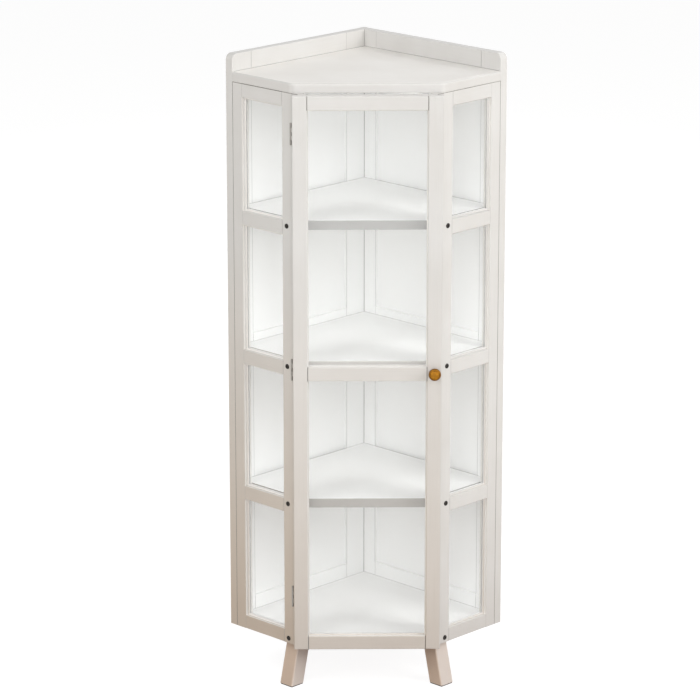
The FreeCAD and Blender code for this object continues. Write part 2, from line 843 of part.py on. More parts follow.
def hinges():
    """Three butt hinges whose knuckles stand in the gap at the door's left edge."""
    frame_leaves, door_leaves, pins = [], [], []
    frame_screws, door_screws = [], []
    frame_low = front_y - size("hinge_leaf_thickness")
    door_low = front_y - size("door_gap")
    pin_x, pin_y = hinge_axis()
    for height in hinge_z:
        leaf, screws = hinge_leaf(height, (0, 2, 4), frame_low, backward,
                                  ["side_left_front_stile"])
        frame_leaves.append(leaf)
        frame_screws += screws
        leaf, screws = hinge_leaf(height, (1, 3), door_low, forward, ["door_hinge_stile"])
        door_leaves.append(leaf)
        door_screws += screws
        pins.append(hinge_pin(pin_x, pin_y, height))
    group("hinge_frame_leaves", frame_leaves)
    group("hinge_door_leaves", door_leaves)
    group("hinge_pins", pins)
    group("hinge_frame_screws", frame_screws)
    group("hinge_door_screws", door_screws)


def hinge_pin(pin_x, pin_y, height):
    """A pin with a low round head on each end."""
    half = size("hinge_length") / 2
    rod = add_cylinder("rod", "sizes.hinge_pin_diameter / 2", "sizes.hinge_length",
                       FreeCAD.Vector(pin_x, pin_y, height - half), up)
    head = "sizes.hinge_knuckle_diameter / 2"
    cap = "sizes.hinge_leaf_thickness"
    upper = add_cone("upper_head", head, "sizes.hinge_pin_diameter / 2", cap,
                     FreeCAD.Vector(pin_x, pin_y, height + half), up)
    lower = add_cone("lower_head", head, "sizes.hinge_pin_diameter / 2", cap,
                     FreeCAD.Vector(pin_x, pin_y, height - half), down)
    return fuse("pin", [rod, upper, lower])


def magnetic_catch():
    """A catch under the top board, and its plate on the back of the door's top rail."""
    plate_y = front_y - size("door_gap")
    face_y = plate_y + size("catch_plate_thickness") + size("catch_gap")
    # the side frame's inner face meets the front plane at 45 degrees
    side_frame_x = front_half - frame_thickness * math.sqrt(2)
    middle_x = side_frame_x - size("catch_side_gap") - size("catch_length") / 2
    body = doc.addObject("Part::Box", "catch_body")
    body.Label = "catch_body"
    bind(body, Length="sizes.catch_length", Width="sizes.catch_depth", Height="sizes.catch_height")
    left = middle_x - size("catch_length") / 2
    body.Placement.Base = FreeCAD.Vector(left, face_y, top_z - size("catch_height"))
    finish("catch_body", body)
    plate = doc.addObject("Part::Box", "catch_plate")
    plate.Label = "catch_plate"
    bind(plate, Length="sizes.catch_plate_length", Width="sizes.catch_plate_thickness",
         Height="sizes.catch_plate_height")
    middle_z = top_z - size("catch_height") / 2
    left = middle_x - size("catch_plate_length") / 2
    low_z = middle_z - size("catch_plate_height") / 2
    plate.Placement.Base = FreeCAD.Vector(left, plate_y, low_z)
    finish("catch_plate", plate)


def side_bolts():
    """Socket-headed bolts through each front stile into the edge of every board."""
    distance = frame_thickness + size("side_width") - size("side_bolt_setback")
    rise = size("board_thickness") - size("side_bolt_drop")
    radius = "sizes.side_bolt_diameter / 2"
    length = "sizes.side_bolt_length"
    head_depth = "sizes.side_bolt_head_thickness"
    bolts = []
    for hand in ("right", "left"):
        inward = wall_way[hand] * -1
        for name, low_z in board_heights.items():
            face = on_side(hand, wall_length, distance, low_z + rise)
            head_face = face - inward * size("side_bolt_head_thickness")
            shank = add_cylinder("shank", radius, length, face, inward)
            head = add_cylinder("head", "sizes.side_bolt_head_diameter / 2", head_depth,
                                head_face, inward)
            socket = doc.addObject("Part::Prism", "socket")
            socket.Polygon = 6
            bind(socket, Circumradius="sizes.side_bolt_socket / sqrt(3)", Height=head_depth)
            socket.Placement = FreeCAD.Placement(head_face, FreeCAD.Rotation(up, inward))
            bolts.append(cut("bolt", fuse("bolt_blank", [shank, head]), [socket]))
            bore([f"side_{hand}_front_stile", name], radius, length, face, inward)
    group("side_bolts", bolts)


def wall_screws():
    """Screws through the walls' stiles into the boards, the side frames and each other."""
    width = size("wall_member_width")
    corner_middle = {
        "right": (frame_thickness + width) / 2,
        "left": frame_thickness + width / 2,
    }
    outer_middle = side_inner - (width - frame_thickness) / 2
    edge_middle = wall_length - frame_thickness / 2
    board_middles = {name: low_z + size("board_thickness") / 2
                     for name, low_z in board_heights.items()}
    board_middles["top_board"] = top_z + size("top_thickness") / 2
    screws = []

    def screw(nodes, hand, distance, height):
        start = on_side(hand, distance, 0, height)
        screws.append(countersunk_screw(nodes, "sizes.wall_screw_diameter",
                                        "sizes.frame_thickness + sizes.wall_screw_reach",
                                        start, side_way[hand]))

    for hand in ("right", "left"):
        for name, height in board_middles.items():
            screw([f"wall_{hand}_corner_stile", name], hand, corner_middle[hand], height)
            screw([f"wall_{hand}_outer_stile", name], hand, outer_middle, height)
    # midway between the boards: the side frames' rear stiles, and the joint at the back corner
    levels = list(board_middles.values())
    for low, high in zip(levels, levels[1:]):
        height = (low + high) / 2
        for hand in ("right", "left"):
            screw([f"wall_{hand}_outer_stile", f"side_{hand}_rear_stile"], hand, edge_middle,
                  height)
        screw(["wall_right_corner_stile", "wall_left_corner_stile"], "right",
              frame_thickness / 2, height)
    group("wall_screws", screws)


def top_dowels():
    """Upright dowels that locate the top board on the side frames."""
    middle = wall_length - frame_thickness / 2
    third = (size("side_width") - 2 * size("side_stile_width")) / 3
    first = frame_thickness + size("side_stile_width") + third
    low_z = top_z - size("dowel_length") / 2
    radius = "sizes.dowel_diameter / 2"
    dowels = []
    for hand in ("right", "left"):
        for distance in (first, first + third):
            start = on_side(hand, middle, distance, low_z)
            dowels.append(add_cylinder("dowel", radius, "sizes.dowel_length", start, up))
            bore([f"side_{hand}_top_rail", "top_board"], radius, "sizes.dowel_length", start, up)
    group("top_dowels", dowels)


def leg(label, splay, origin):
    """A square leg, drawn level at its foot and swept up to its plate.

    Local X and Y follow the left and the right wall. The foot stands out from the top by the
    splay, a rise over run along the right and the left wall.
    """
    body = new_body(label)
    foot = new_sketch(body, "XY_Plane")
    draw_rectangle(foot, "0", "sizes.leg_width", "0", "sizes.leg_width")
    pad = add_pad(body, foot, leg_rise)
    pad.UseCustomVector = True
    pad.Direction = FreeCAD.Vector(-splay[1], -splay[0], 1)
    pad.AlongSketchNormal = True

    def is_standing(middle, direction):
        return abs(direction.z) > 0.5 * direction.Length

    add_fillet(body, "sizes.leg_edge_round", is_standing)
    place(body, origin, along_left, up)
    return body


# Height of a leg from its glide to the plate under the bottom board.
leg_rise = (
    "(sizes.leg_height + sizes.bottom_board_rise"
    " - sizes.leg_plate_thickness - sizes.glide_thickness)"
)


def legs():
    """Two front legs that splay out square to the side frames, and an upright one behind."""
    slope = math.tan(math.radians(size("leg_splay")))
    across_side = frame_thickness + size("side_width") - size("leg_setback") - size("leg_width")
    foot_shift = slope * (base_z - size("glide_thickness"))
    out = side_inner - size("leg_fit") - size("leg_width") + foot_shift
    rear = frame_thickness + size("rear_leg_fit")
    # place of each foot along the right and the left wall, and its splay the same way
    fitted_leg("front_right_leg", (out, across_side), (slope, 0))
    fitted_leg("front_left_leg", (across_side, out), (0, slope))
    fitted_leg("rear_leg", (rear, rear), (0, 0))
    for label, pieces in fittings.items():
        group(label, pieces)


# Glides, plates and bolts of the legs, gathered as each leg is made.
fittings = {"foot_glides": [], "leg_plates": [], "leg_bolts": []}


def fitted_leg(label, foot, splay):
    """A leg with its glide below, and the plate and upright hanger bolt on top of it."""
    foot_z = size("glide_thickness")
    finish(label, leg(label, splay, at(*foot, foot_z)))
    fittings["foot_glides"].append(inset_plate("glide_thickness", "glide_inset", foot, 0))

    plate_z = bottom_board_z - size("leg_plate_thickness")
    top = [start - slope * (plate_z - foot_z) for start, slope in zip(foot, splay)]
    plate = inset_plate("leg_plate_thickness", "leg_plate_inset", top, plate_z)
    half = size("leg_width") / 2
    bolt_foot = at(top[0] + half, top[1] + half, plate_z - size("leg_bolt_in_leg"))
    radius = "sizes.leg_bolt_diameter / 2"
    length = "sizes.leg_bolt_in_leg + sizes.leg_plate_thickness + sizes.leg_bolt_in_board"
    fittings["leg_bolts"].append(add_cylinder("bolt", radius, length, bolt_foot, up))
    bore([label, "bottom_board"], radius, length, bolt_foot, up)
    plate_hole = add_cylinder("hole", f"{radius} + sizes.hole_clearance", length, bolt_foot, up)
    fittings["leg_plates"].append(cut("plate", plate, [plate_hole]))


def inset_plate(thickness, inset, foot, height):
    """A level square plate, smaller than a leg's section by the inset all round."""
    plate = doc.addObject("Part::Box", "plate")
    side = f"sizes.leg_width - 2 * sizes.{inset}"
    bind(plate, Length=side, Width=side, Height=f"sizes.{thickness}")
    right, left = [start + size(inset) for start in foot]
    place(plate, at(right, left, height), along_left, up)
    return plate


def drill_all():
    """Cut the collected holes into their pieces, each keeping its name."""
    for node, tools in holes.items():
        blank = finished[node]
        blank.Label = f"{node}_blank"
        finished[node] = cut(node, blank, tools)


def check_document():
    doc.recompute()
    for item in doc.Objects:
        if "Invalid" in item.State or "Error" in item.State:
            raise RuntimeError(f"{item.Label}: {item.State}")
    for label, item in finished.items():
        if item.Shape.isNull() or not item.Shape.isValid() or not item.Shape.Solids:
            raise RuntimeError(f"{label}: no valid solid")


def write_parts():
    os.makedirs("parts", exist_ok=True)
    for label, item in finished.items():
        item.Shape.exportStep(f"parts/{label}.step")
    print(len(finished), "sub-parts written")


back_walls()
side_frames()
shelves()
top_board()
door_frame()
door_glass()
knob()
hinges()
magnetic_catch()
side_bolts()
wall_screws()
top_dowels()
legs()
drill_all()
check_document()
write_parts()
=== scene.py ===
import json
import math

import bmesh
import bpy
from mathutils import Matrix, Vector


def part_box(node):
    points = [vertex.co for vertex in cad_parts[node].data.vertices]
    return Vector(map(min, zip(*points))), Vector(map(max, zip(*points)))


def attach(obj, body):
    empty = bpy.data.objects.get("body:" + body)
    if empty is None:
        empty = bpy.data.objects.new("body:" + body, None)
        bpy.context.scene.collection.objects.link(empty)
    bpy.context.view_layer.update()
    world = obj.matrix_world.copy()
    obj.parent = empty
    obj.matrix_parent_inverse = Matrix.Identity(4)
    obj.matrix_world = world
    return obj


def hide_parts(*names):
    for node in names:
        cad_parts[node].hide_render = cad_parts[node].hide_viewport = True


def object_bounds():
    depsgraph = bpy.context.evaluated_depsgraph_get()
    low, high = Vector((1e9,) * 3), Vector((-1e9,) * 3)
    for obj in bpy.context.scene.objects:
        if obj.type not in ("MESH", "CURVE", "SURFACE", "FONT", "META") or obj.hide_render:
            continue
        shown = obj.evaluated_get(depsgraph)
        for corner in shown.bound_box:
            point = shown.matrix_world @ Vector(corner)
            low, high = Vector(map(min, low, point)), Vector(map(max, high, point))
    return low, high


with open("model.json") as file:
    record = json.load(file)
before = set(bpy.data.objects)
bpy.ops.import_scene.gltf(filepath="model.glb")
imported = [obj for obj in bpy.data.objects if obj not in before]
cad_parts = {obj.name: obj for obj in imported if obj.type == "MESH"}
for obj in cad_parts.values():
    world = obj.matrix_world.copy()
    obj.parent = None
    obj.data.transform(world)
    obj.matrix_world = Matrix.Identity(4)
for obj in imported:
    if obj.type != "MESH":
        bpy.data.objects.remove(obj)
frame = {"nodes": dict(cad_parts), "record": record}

# A glazed corner cabinet in satin warm white paint, with a brass knob and dark bolts.
# Metres, Z up, the door faces minus Y. The solids stay where they are, and this file gives them
# their finishes, the turned, stamped and moulded small parts, light and a camera.

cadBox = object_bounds()
solids = frame["nodes"]
print("loaded", len(solids), "nodes")

up = Vector((0, 0, 1))
front = Vector((0, -1, 0))
back = Vector((0, 1, 0))
across = Vector((1, 0, 0))
alongRight = Vector((1, -1, 0)).normalized()  # along the right wall, away from the back corner
alongLeft = Vector((-1, -1, 0)).normalized()
sharpFrom = 32  # degrees; a smaller turn between two faces is shaded smooth


# The camera stands far off with a long lens, a little above the top board.
viewing = {
    "aim": (-0.0390, -0.2064, 0.8175),
    "distance": 8.030,
    "elevation": 15.813,  # degrees above the horizon
    "turn": 0.695,  # degrees to the left of straight ahead
    "lens": 182.36,
    "sensor": 36,
    "farthest": 200,
}


def makeCamera():
    data = bpy.data.cameras.new("camera")
    data.lens = viewing["lens"]
    data.sensor_width = viewing["sensor"]
    data.clip_end = viewing["farthest"]
    camera = bpy.data.objects.new("camera", data)
    bpy.context.scene.collection.objects.link(camera)
    elevation = math.radians(viewing["elevation"])
    turn = math.radians(viewing["turn"])
    level = math.cos(elevation)
    away = Vector((-math.sin(turn) * level, -math.cos(turn) * level, math.sin(elevation)))
    camera.location = Vector(viewing["aim"]) + away * viewing["distance"]
    camera.rotation_mode = "QUATERNION"
    camera.rotation_quaternion = away.to_track_quat("Z", "Y")
    bpy.context.scene.camera = camera


def paired(operation):
    def forward(self, other):
        return self.nodes.add("Math", {"operation": operation}, {0: self, 1: other})

    def reflected(self, other):
        return self.nodes.add("Math", {"operation": operation}, {0: other, 1: self})

    return forward, reflected


class Reading:  # one socket, with the operators of shader maths
    def __init__(self, nodes, socket):
        self.nodes = nodes
        self.socket = socket

    __add__, __radd__ = paired("ADD")
    __sub__, __rsub__ = paired("SUBTRACT")
    __mul__, __rmul__ = paired("MULTIPLY")
    __truediv__, __rtruediv__ = paired("DIVIDE")
    __pow__, __rpow__ = paired("POWER")


class Nodes:  # a node tree that is filled from empty
    def __init__(self, tree):
        self.tree = tree
        tree.nodes.clear()

    def add(self, kind, settings=None, sockets=None, out=0):
        node = self.tree.nodes.new("ShaderNode" + kind)
        for name, value in (settings or {}).items():
            if name == "stops":
                self.setStops(node.color_ramp, value)
            else:
                setattr(node, name, value)
        for name, value in (sockets or {}).items():
            if isinstance(value, Reading):
                self.tree.links.new(value.socket, node.inputs[name])
            else:
                node.inputs[name].default_value = value
        return Reading(self, node.outputs[out]) if node.outputs else None

    def setStops(self, ramp, stops):
        while len(ramp.elements) < len(stops):
            ramp.elements.new(1.0)
        for element, (position, shade) in zip(ramp.elements, stops):
            element.position = position
            element.color = (shade, shade, shade, 1)

    def place(self):  # the piece's own coordinates in metres, which ride with it
        return self.add("TexCoord", out="Object")

    def noise(self, place, scale, detail=2.0, roughness=0.5, distortion=0.0):
        sockets = {"Vector": place, "Scale": scale, "Detail": detail, "Roughness": roughness,
                   "Distortion": distortion}
        return self.add("TexNoise", sockets=sockets)

    def dot(self, vector, direction):
        return self.add("VectorMath", {"operation": "DOT_PRODUCT"},
                        {0: vector, 1: tuple(direction)}, "Value")

    def length(self, vector):
        return self.add("VectorMath", {"operation": "LENGTH"}, {0: vector}, "Value")

    def drawn(self, place, direction, stretch):  # coordinates drawn out along a direction
        run = self.dot(place, direction)
        shift = self.add("VectorMath", {"operation": "SCALE"},
                         {0: tuple(direction), "Scale": run * (1 / stretch - 1)})
        return self.add("VectorMath", {"operation": "ADD"}, {0: place, 1: shift})

    def ramp(self, value, *stops):
        return self.add("ValToRGB", {"stops": stops}, {0: value})

    def rise(self, value, start, full):  # 0 below the start, 1 from full on
        return self.ramp(value, (start, 0.0), (full, 1.0))

    def lean(self, way, start, full):  # the same by the cosine between the surface and a way
        cosine = self.dot(self.add("TexCoord", out="Normal"), way)
        return self.rise(cosine / 2 + 0.5, start / 2 + 0.5, full / 2 + 0.5)

    def mix(self, share, first, second, blend="MIX"):  # two colours, plain or from sockets
        colours = [value if isinstance(value, Reading) else (*value, 1)
                   for value in (first, second)]
        return self.add("Mix", {"data_type": "RGBA", "blend_type": blend},
                        {0: share, 6: colours[0], 7: colours[1]}, 2)

    def bump(self, height, distance):
        return self.add("Bump", sockets={"Height": height, "Distance": distance})

    def principled(self, **sockets):
        named = {name.replace("_", " "): value for name, value in sockets.items()}
        return self.add("BsdfPrincipled", sockets=named)

    def output(self, surface, kind="OutputMaterial"):
        self.add(kind, sockets={"Surface": surface})


def newFinish(name):
    material = bpy.data.materials.new(name)
    material.use_nodes = True
    return material, Nodes(material.node_tree)


def between(limits, share):  # a value from low to high, by a share
    low, high = limits
    return low + (high - low) * share


# Even studio light: a pale surround, a soft lamp high on the right, one over the camera, weaker
# ones on the left, and three behind for the walls' backs.
studio = {
    "surround": 0.38,
    "surroundTone": (1.0, 0.995, 0.985),
    "lamps": {
        # name: (place, size, watts)
        "rightLamp": ((4.6, -2.7, 3.4), 3.8, 208),
        "frontLamp": ((0.0, -6.5, 2.7), 5.0, 165),
        "leftLamp": ((-4.4, -4.0, 3.4), 3.0, 56),
        "highLeftLamp": ((-2.4, -2.6, 4.2), 2.0, 40),
        "rearLamp": ((1.8, 3.2, 4.4), 2.4, 30),
        "rearLowLeft": ((-3.4, 4.2, 1.1), 2.0, 70),
        "rearLowRight": ((3.4, 4.2, 1.1), 2.0, 70),
    },
    "lampAim": (0.0, -0.05, 0.85),
    "floorSize": 60,
    "floorTones": ((0.97, 0.97, 0.97), (1.0, 1.0, 1.0)),
    "gritScale": 240,
    "floorWhite": 0.75,  # share of the floor's own white that hides the light's fall-off
    "floorStrength": 1.16,
    # warm boards near the feet colour the light that comes up from below
    "boardsFade": (0.56, 1.04),  # metres from the middle
    "boardsTone": (0.16, 0.075, 0.035),
    "farTone": (0.64, 0.61, 0.57),
    "bounces": 8,  # light goes to and fro many times in the white inside
}


def seenDirectly(nodes):  # 1 for what the camera, a mirror or clear glass shows
    path = nodes.add("LightPath").socket.node
    kinds = ("Is Camera Ray", "Is Glossy Ray", "Is Transmission Ray")
    camera, glossy, through = [Reading(nodes, path.outputs[kind]) for kind in kinds]
    return nodes.add("Math", {"operation": "ADD", "use_clamp": True},
                     {0: camera, 1: glossy + through})


def makeSurround():
    world = bpy.data.worlds.new("surround")
    bpy.context.scene.world = world
    world.use_nodes = True
    nodes = Nodes(world.node_tree)
    lit = nodes.add("Background", sockets={"Color": (*studio["surroundTone"], 1),
                                           "Strength": studio["surround"]})
    white = nodes.add("Background", sockets={"Color": (1, 1, 1, 1), "Strength": 1.0})
    mixed = nodes.add("MixShader", sockets={0: seenDirectly(nodes), 1: lit, 2: white})
    nodes.output(mixed, "OutputWorld")


def makeLamps():
    for name, (place, size, watts) in studio["lamps"].items():
        data = bpy.data.lights.new(name, "AREA")
        data.shape = "DISK"
        data.size = size
        data.energy = watts
        lamp = bpy.data.objects.new(name, data)
        bpy.context.scene.collection.objects.link(lamp)
        lamp.location = place
        away = Vector(place) - Vector(studio["lampAim"])
        lamp.rotation_mode = "QUATERNION"
        lamp.rotation_quaternion = away.to_track_quat("Z", "Y")


def floorFinish():
    material, nodes = newFinish("paleFloor")
    place = nodes.add("NewGeometry", out="Position")
    grit = nodes.noise(place, studio["gritScale"], 3)
    pale = nodes.add("BsdfDiffuse", sockets={"Color": nodes.mix(grit, *studio["floorTones"])})
    white = nodes.add("Emission", sockets={"Color": (1, 1, 1, 1),
                                           "Strength": studio["floorStrength"]})
    shown = nodes.add("MixShader", sockets={0: studio["floorWhite"], 1: pale, 2: white})
    near, far = studio["boardsFade"]
    reach = nodes.rise(nodes.length(place) / (near + far), near / (near + far),
                       far / (near + far))
    sent = nodes.add("BsdfDiffuse", sockets={
        "Color": nodes.mix(reach, studio["boardsTone"], studio["farTone"])})
    mixed = nodes.add("MixShader", sockets={0: seenDirectly(nodes), 1: sent, 2: shown})
    nodes.output(mixed)
    return material


def makeFloor():
    half = studio["floorSize"] / 2
    built = bmesh.new()
    corners = [built.verts.new((x, y, 0)) for x, y in
               ((-half, -half), (half, -half), (half, half), (-half, half))]
    built.faces.new(corners)
    floor = newPiece("floor", built, floorFinish())


def newPiece(name, built, material, smooth=False):
    bmesh.ops.recalc_face_normals(built, faces=built.faces)
    mesh = bpy.data.meshes.new(name)
    built.to_mesh(mesh)
    built.free()
    if smooth:
        mesh.shade_smooth()
        mesh.set_sharp_from_angle(angle=math.radians(sharpFrom))
    mesh.materials.append(material)
    piece = bpy.data.objects.new(name, mesh)
    bpy.context.scene.collection.objects.link(piece)
    return piece


# Satin paint over wood: the grain shows faintly through the film, drawn along each piece. The
# frames are a warm white, and lighter and darker copies of it paint light and shade by the way
# a face looks: paler on faces turned up or down, a whiter white inside, which is the boards' own
# and painted light on the frames' inner faces, darker on the door's front, warmer on the legs, and
# a grey painted shade on the front edges of the shelves and the bottom board, the middle shelf's
# in the warm white. The warm whites also turn warmer and darker towards the feet, most on faces
# turned left, which is painted shade.
paint = {
    # white: (base, shade, line)
    "warm": ((0.645, 0.634, 0.616), (0.611, 0.596, 0.573), (0.54, 0.515, 0.48)),
    # a darker copy of the warm white for the door's front, painted shade
    "door": ((0.602, 0.592, 0.578), (0.570, 0.557, 0.538), (0.50, 0.48, 0.45)),
    "pale": ((0.835, 0.815, 0.785), (0.79, 0.766, 0.73), (0.70, 0.67, 0.62)),
    "ledge": ((0.715, 0.700, 0.680), (0.68, 0.662, 0.638), (0.60, 0.575, 0.54)),
    "clean": ((0.955, 0.958, 0.955), (0.930, 0.931, 0.926), (0.86, 0.855, 0.84)),
    "edging": ((0.635, 0.622, 0.604), (0.602, 0.586, 0.562), (0.53, 0.505, 0.47)),
    "lipping": ((0.405, 0.400, 0.392), (0.378, 0.372, 0.362), (0.335, 0.325, 0.31)),
    "leg": ((0.684, 0.621, 0.573), (0.648, 0.584, 0.533), (0.57, 0.505, 0.446)),
    "yellowed": (0.92, 0.80, 0.68),  # painted warm shade: what is left of the warm whites towards the feet
    "yellowKinds": ("warm", "door", "leg", "lipping"),
    "yellowFrom": 0.72,  # shares of the height where it starts and is full
    "yellowFull": 0.12,
    "yellowUneven": 0.15,
    "yellowLean": 0.76,  # cosine to the left at which it is full
    "grainScale": 330,
    "grainStretch": 34,
    "pores": (0.36, 0.47),
    "lineShare": 0.14,
    "cloudScale": 5.5,
    "clouds": (0.35, 0.68),
    "filmScale": 1300,
    "grainDepth": 0.00007,
    "filmDepth": 0.00002,
    "filmStrength": 0.8,
    "roughness": (0.36, 0.50),
    "gloss": 1.47,
    "softEdge": 0.06,  # of the cosine, where one white goes over into another
}


def paintFinish(name, direction, white, others=()):
    material, nodes = newFinish(name)
    place = nodes.place()
    cloud = nodes.noise(place, paint["cloudScale"], 3, 0.6)
    along = nodes.drawn(place, direction, paint["grainStretch"])
    grain = nodes.noise(along, paint["grainScale"], 5, 0.62, 0.4)
    dark, plain = paint["pores"]
    pores = nodes.ramp(grain, (dark, 1.0), (plain, 0.0))
    film = nodes.noise(place, paint["filmScale"], 2)
    clouded = nodes.rise(cloud, *paint["clouds"])
    height = nodes.add("SeparateXYZ", sockets={0: place}, out="Z")

    def coloured(kind):
        base, shade, line = paint[kind]
        colour = nodes.mix(pores * paint["lineShare"], nodes.mix(clouded, base, shade), line)
        if kind not in paint["yellowKinds"]:
            return colour
        # painted shade: the warm whites turn warmer and darker towards the feet, most on faces
        # turned left
        share = height / cadBox[1].z + (cloud - 0.5) * paint["yellowUneven"]
        lowShade = nodes.ramp(share, (paint["yellowFull"], 1.0), (paint["yellowFrom"], 0.0))
        leftward = nodes.lean(-across, -paint["yellowLean"], paint["yellowLean"])
        return nodes.mix(lowShade * leftward, colour, paint["yellowed"], "MULTIPLY")

    colour = coloured(white)
    # faces that look these ways take other whites, painted light and shade
    for way, least, other, top in others:  # what looks about this way, up to this height
        below = nodes.add("Math", {"operation": "LESS_THAN"}, {0: height, 1: top})
        leaning = nodes.lean(way, least, least + paint["softEdge"])
        colour = nodes.mix(leaning * below, colour, coloured(other))
    roughness = between(paint["roughness"], cloud * 0.5 + grain * 0.5)
    wood = nodes.bump(grain - pores * 0.5, paint["grainDepth"])
    normal = nodes.add("Bump", sockets={"Height": film, "Distance": paint["filmDepth"],
                                        "Strength": paint["filmStrength"], "Normal": wood})
    nodes.output(nodes.principled(Base_Color=colour, Roughness=roughness, Normal=normal,
                                  IOR=paint["gloss"]))
    return material


# Clear float glass: light goes straight through, and what stands at a slant mirrors more.
glass = {
    "body": (0.996, 0.998, 0.997),
    "faceOn": 0.06,
    "smearScale": 9,
    "smears": (0.45, 0.75),
    "smearShine": 0.012,
    "roughness": (0.015, 0.09),
}


def glassFinish():
    material, nodes = newFinish("floatGlass")
    place = nodes.place()
    slant = nodes.add("LayerWeight", sockets={"Blend": 0.5}, out="Facing")
    smear = nodes.noise(nodes.drawn(place, up, 3), glass["smearScale"], 5, 0.6, 0.8)
    film = nodes.rise(smear, *glass["smears"])
    mirrored = glass["faceOn"] + (1 - glass["faceOn"]) * slant ** 5 + film * glass["smearShine"]
    shine = nodes.principled(Base_Color=(1, 1, 1, 1), Metallic=1.0,
                             Roughness=between(glass["roughness"], film))
    clear = nodes.add("BsdfTransparent", sockets={"Color": (*glass["body"], 1)})
    nodes.output(nodes.add("MixShader", sockets={0: mirrored, 1: clear, 2: shine}))
    return material


# Aged brass, turned on a lathe: fine rings round the knob's axis, tarnish specks, and darker towards
# the rim.
brass = {
    "bright": (0.40, 0.175, 0.018),
    "deep": (0.22, 0.095, 0.014),
    "tarnish": (0.085, 0.042, 0.014),
    "blotchScale": 160,
    "blotches": (0.35, 0.7),
    "speckScale": 1500,
    "specks": (0.62, 0.75),
    "rimFrom": 0.62,  # of the radius, where the darkening starts
    "rimUneven": 0.25,
    "rimShare": 0.62,  # of the tarnish, as the next one
    "speckShare": 0.4,
    "ringPitch": 0.00035,
    "ringDepth": 0.000012,
    "roughness": (0.40, 0.60),
}


def brassFinish(centre, radius):
    material, nodes = newFinish("agedBrass")
    place = nodes.place()
    offset = nodes.add("VectorMath", {"operation": "SUBTRACT"}, {0: place, 1: tuple(centre)})
    flat = nodes.add("VectorMath", {"operation": "MULTIPLY"}, {0: offset, 1: (1, 0, 1)})
    reach = nodes.length(flat)
    rings = nodes.add("Math", {"operation": "SINE"},
                      {0: reach * (2 * math.pi / brass["ringPitch"])})
    blotch = nodes.noise(place, brass["blotchScale"], 4, 0.6)
    speck = nodes.noise(place, brass["speckScale"], 3, 0.6)
    uneven = (blotch - 0.5) * brass["rimUneven"]
    # darker towards the rim
    rim = nodes.rise(reach / radius + uneven, brass["rimFrom"], 1.0)
    colour = nodes.mix(nodes.rise(blotch, *brass["blotches"]), brass["bright"], brass["deep"])
    specks = nodes.rise(speck, *brass["specks"])
    dulled = rim * brass["rimShare"] + specks * brass["speckShare"]
    colour = nodes.mix(dulled, colour, brass["tarnish"])
    normal = nodes.bump(rings * 0.5 + speck, brass["ringDepth"])
    nodes.output(nodes.principled(Base_Color=colour, Metallic=1.0, Normal=normal,
                                  Roughness=between(brass["roughness"],
                                                    blotch * 0.6 + rim * 0.4)))
    return material


# Zinc on steel: a faint grey bloom and fine rolling marks. The hinges are a darker grey.
zinc = {
    # finish: (light, dark)
    "zincSteel": ((0.58, 0.585, 0.58), (0.39, 0.40, 0.405)),
    "agedHinge": ((0.40, 0.38, 0.35), (0.22, 0.205, 0.185)),
    "rollScale": 1800,
    "rollStretch": 20,
    "rollDepth": 0.00001,
    "bloomScale": 120,
    "bloom": (0.35, 0.7),
    "roughness": (0.26, 0.46),
}


def zincFinish(name):
    material, nodes = newFinish(name)
    light, dark = zinc[name]
    place = nodes.place()
    rolled = nodes.noise(nodes.drawn(place, up, zinc["rollStretch"]), zinc["rollScale"], 3, 0.6)
    bloom = nodes.noise(place, zinc["bloomScale"], 4, 0.6)
    colour = nodes.mix(nodes.rise(bloom * 0.7 + rolled * 0.3, *zinc["bloom"]), light, dark)
    nodes.output(nodes.principled(Base_Color=colour, Metallic=1.0,
                                  Roughness=between(zinc["roughness"], bloom),
                                  Normal=nodes.bump(rolled, zinc["rollDepth"])))
    return material


# Blackened bolts, rubbed a little brown where the key and the fingers touch.
boltSteel = {
    "black": (0.010, 0.008, 0.006),
    "rubbed": (0.05, 0.04, 0.032),
    "wearScale": 420,
    "wear": (0.45, 0.7),
    "gritScale": 2600,
    "gritDepth": 0.00001,
    "metal": 0.4,
    "roughness": (0.34, 0.6),
}


def boltFinish():
    material, nodes = newFinish("blackenedSteel")
    place = nodes.place()
    wear = nodes.noise(place, boltSteel["wearScale"], 4, 0.65)
    grit = nodes.noise(place, boltSteel["gritScale"], 2)
    colour = nodes.mix(nodes.rise(wear, *boltSteel["wear"]), boltSteel["black"],
                       boltSteel["rubbed"])
    nodes.output(nodes.principled(Base_Color=colour, Metallic=boltSteel["metal"],
                                  Roughness=between(boltSteel["roughness"], grit),
                                  Normal=nodes.bump(grit, boltSteel["gritDepth"])))
    return material


# Moulded nylon of the catch.
nylon = {
    "light": (0.80, 0.80, 0.77),
    "dark": (0.73, 0.725, 0.69),
    "flowScale": 130,
    "flowStretch": 5,
    "sparkleScale": 3800,
    "sparkleDepth": 0.00001,
    "roughness": (0.42, 0.62),
}


def nylonFinish():
    material, nodes = newFinish("mouldedNylon")
    place = nodes.place()
    flow = nodes.noise(nodes.drawn(place, across, nylon["flowStretch"]), nylon["flowScale"], 3)
    sparkle = nodes.noise(place, nylon["sparkleScale"], 2)
    colour = nodes.mix(flow, nylon["light"], nylon["dark"])
    nodes.output(nodes.principled(Base_Color=colour,
                                  Roughness=between(nylon["roughness"], sparkle),
                                  Normal=nodes.bump(sparkle, nylon["sparkleDepth"])))
    return material


# Pressed felt under the feet.
felt = {
    "light": (0.085, 0.072, 0.062),
    "dark": (0.028, 0.024, 0.021),
    "tuftScale": 900,
    "hairScale": 3000,
    "hairWay": (0.6, 0.8, 0),
    "hairStretch": 8,
    "tufts": (0.35, 0.65),
    "tuftDepth": 0.0002,
    "roughness": (0.9, 0.98),
}


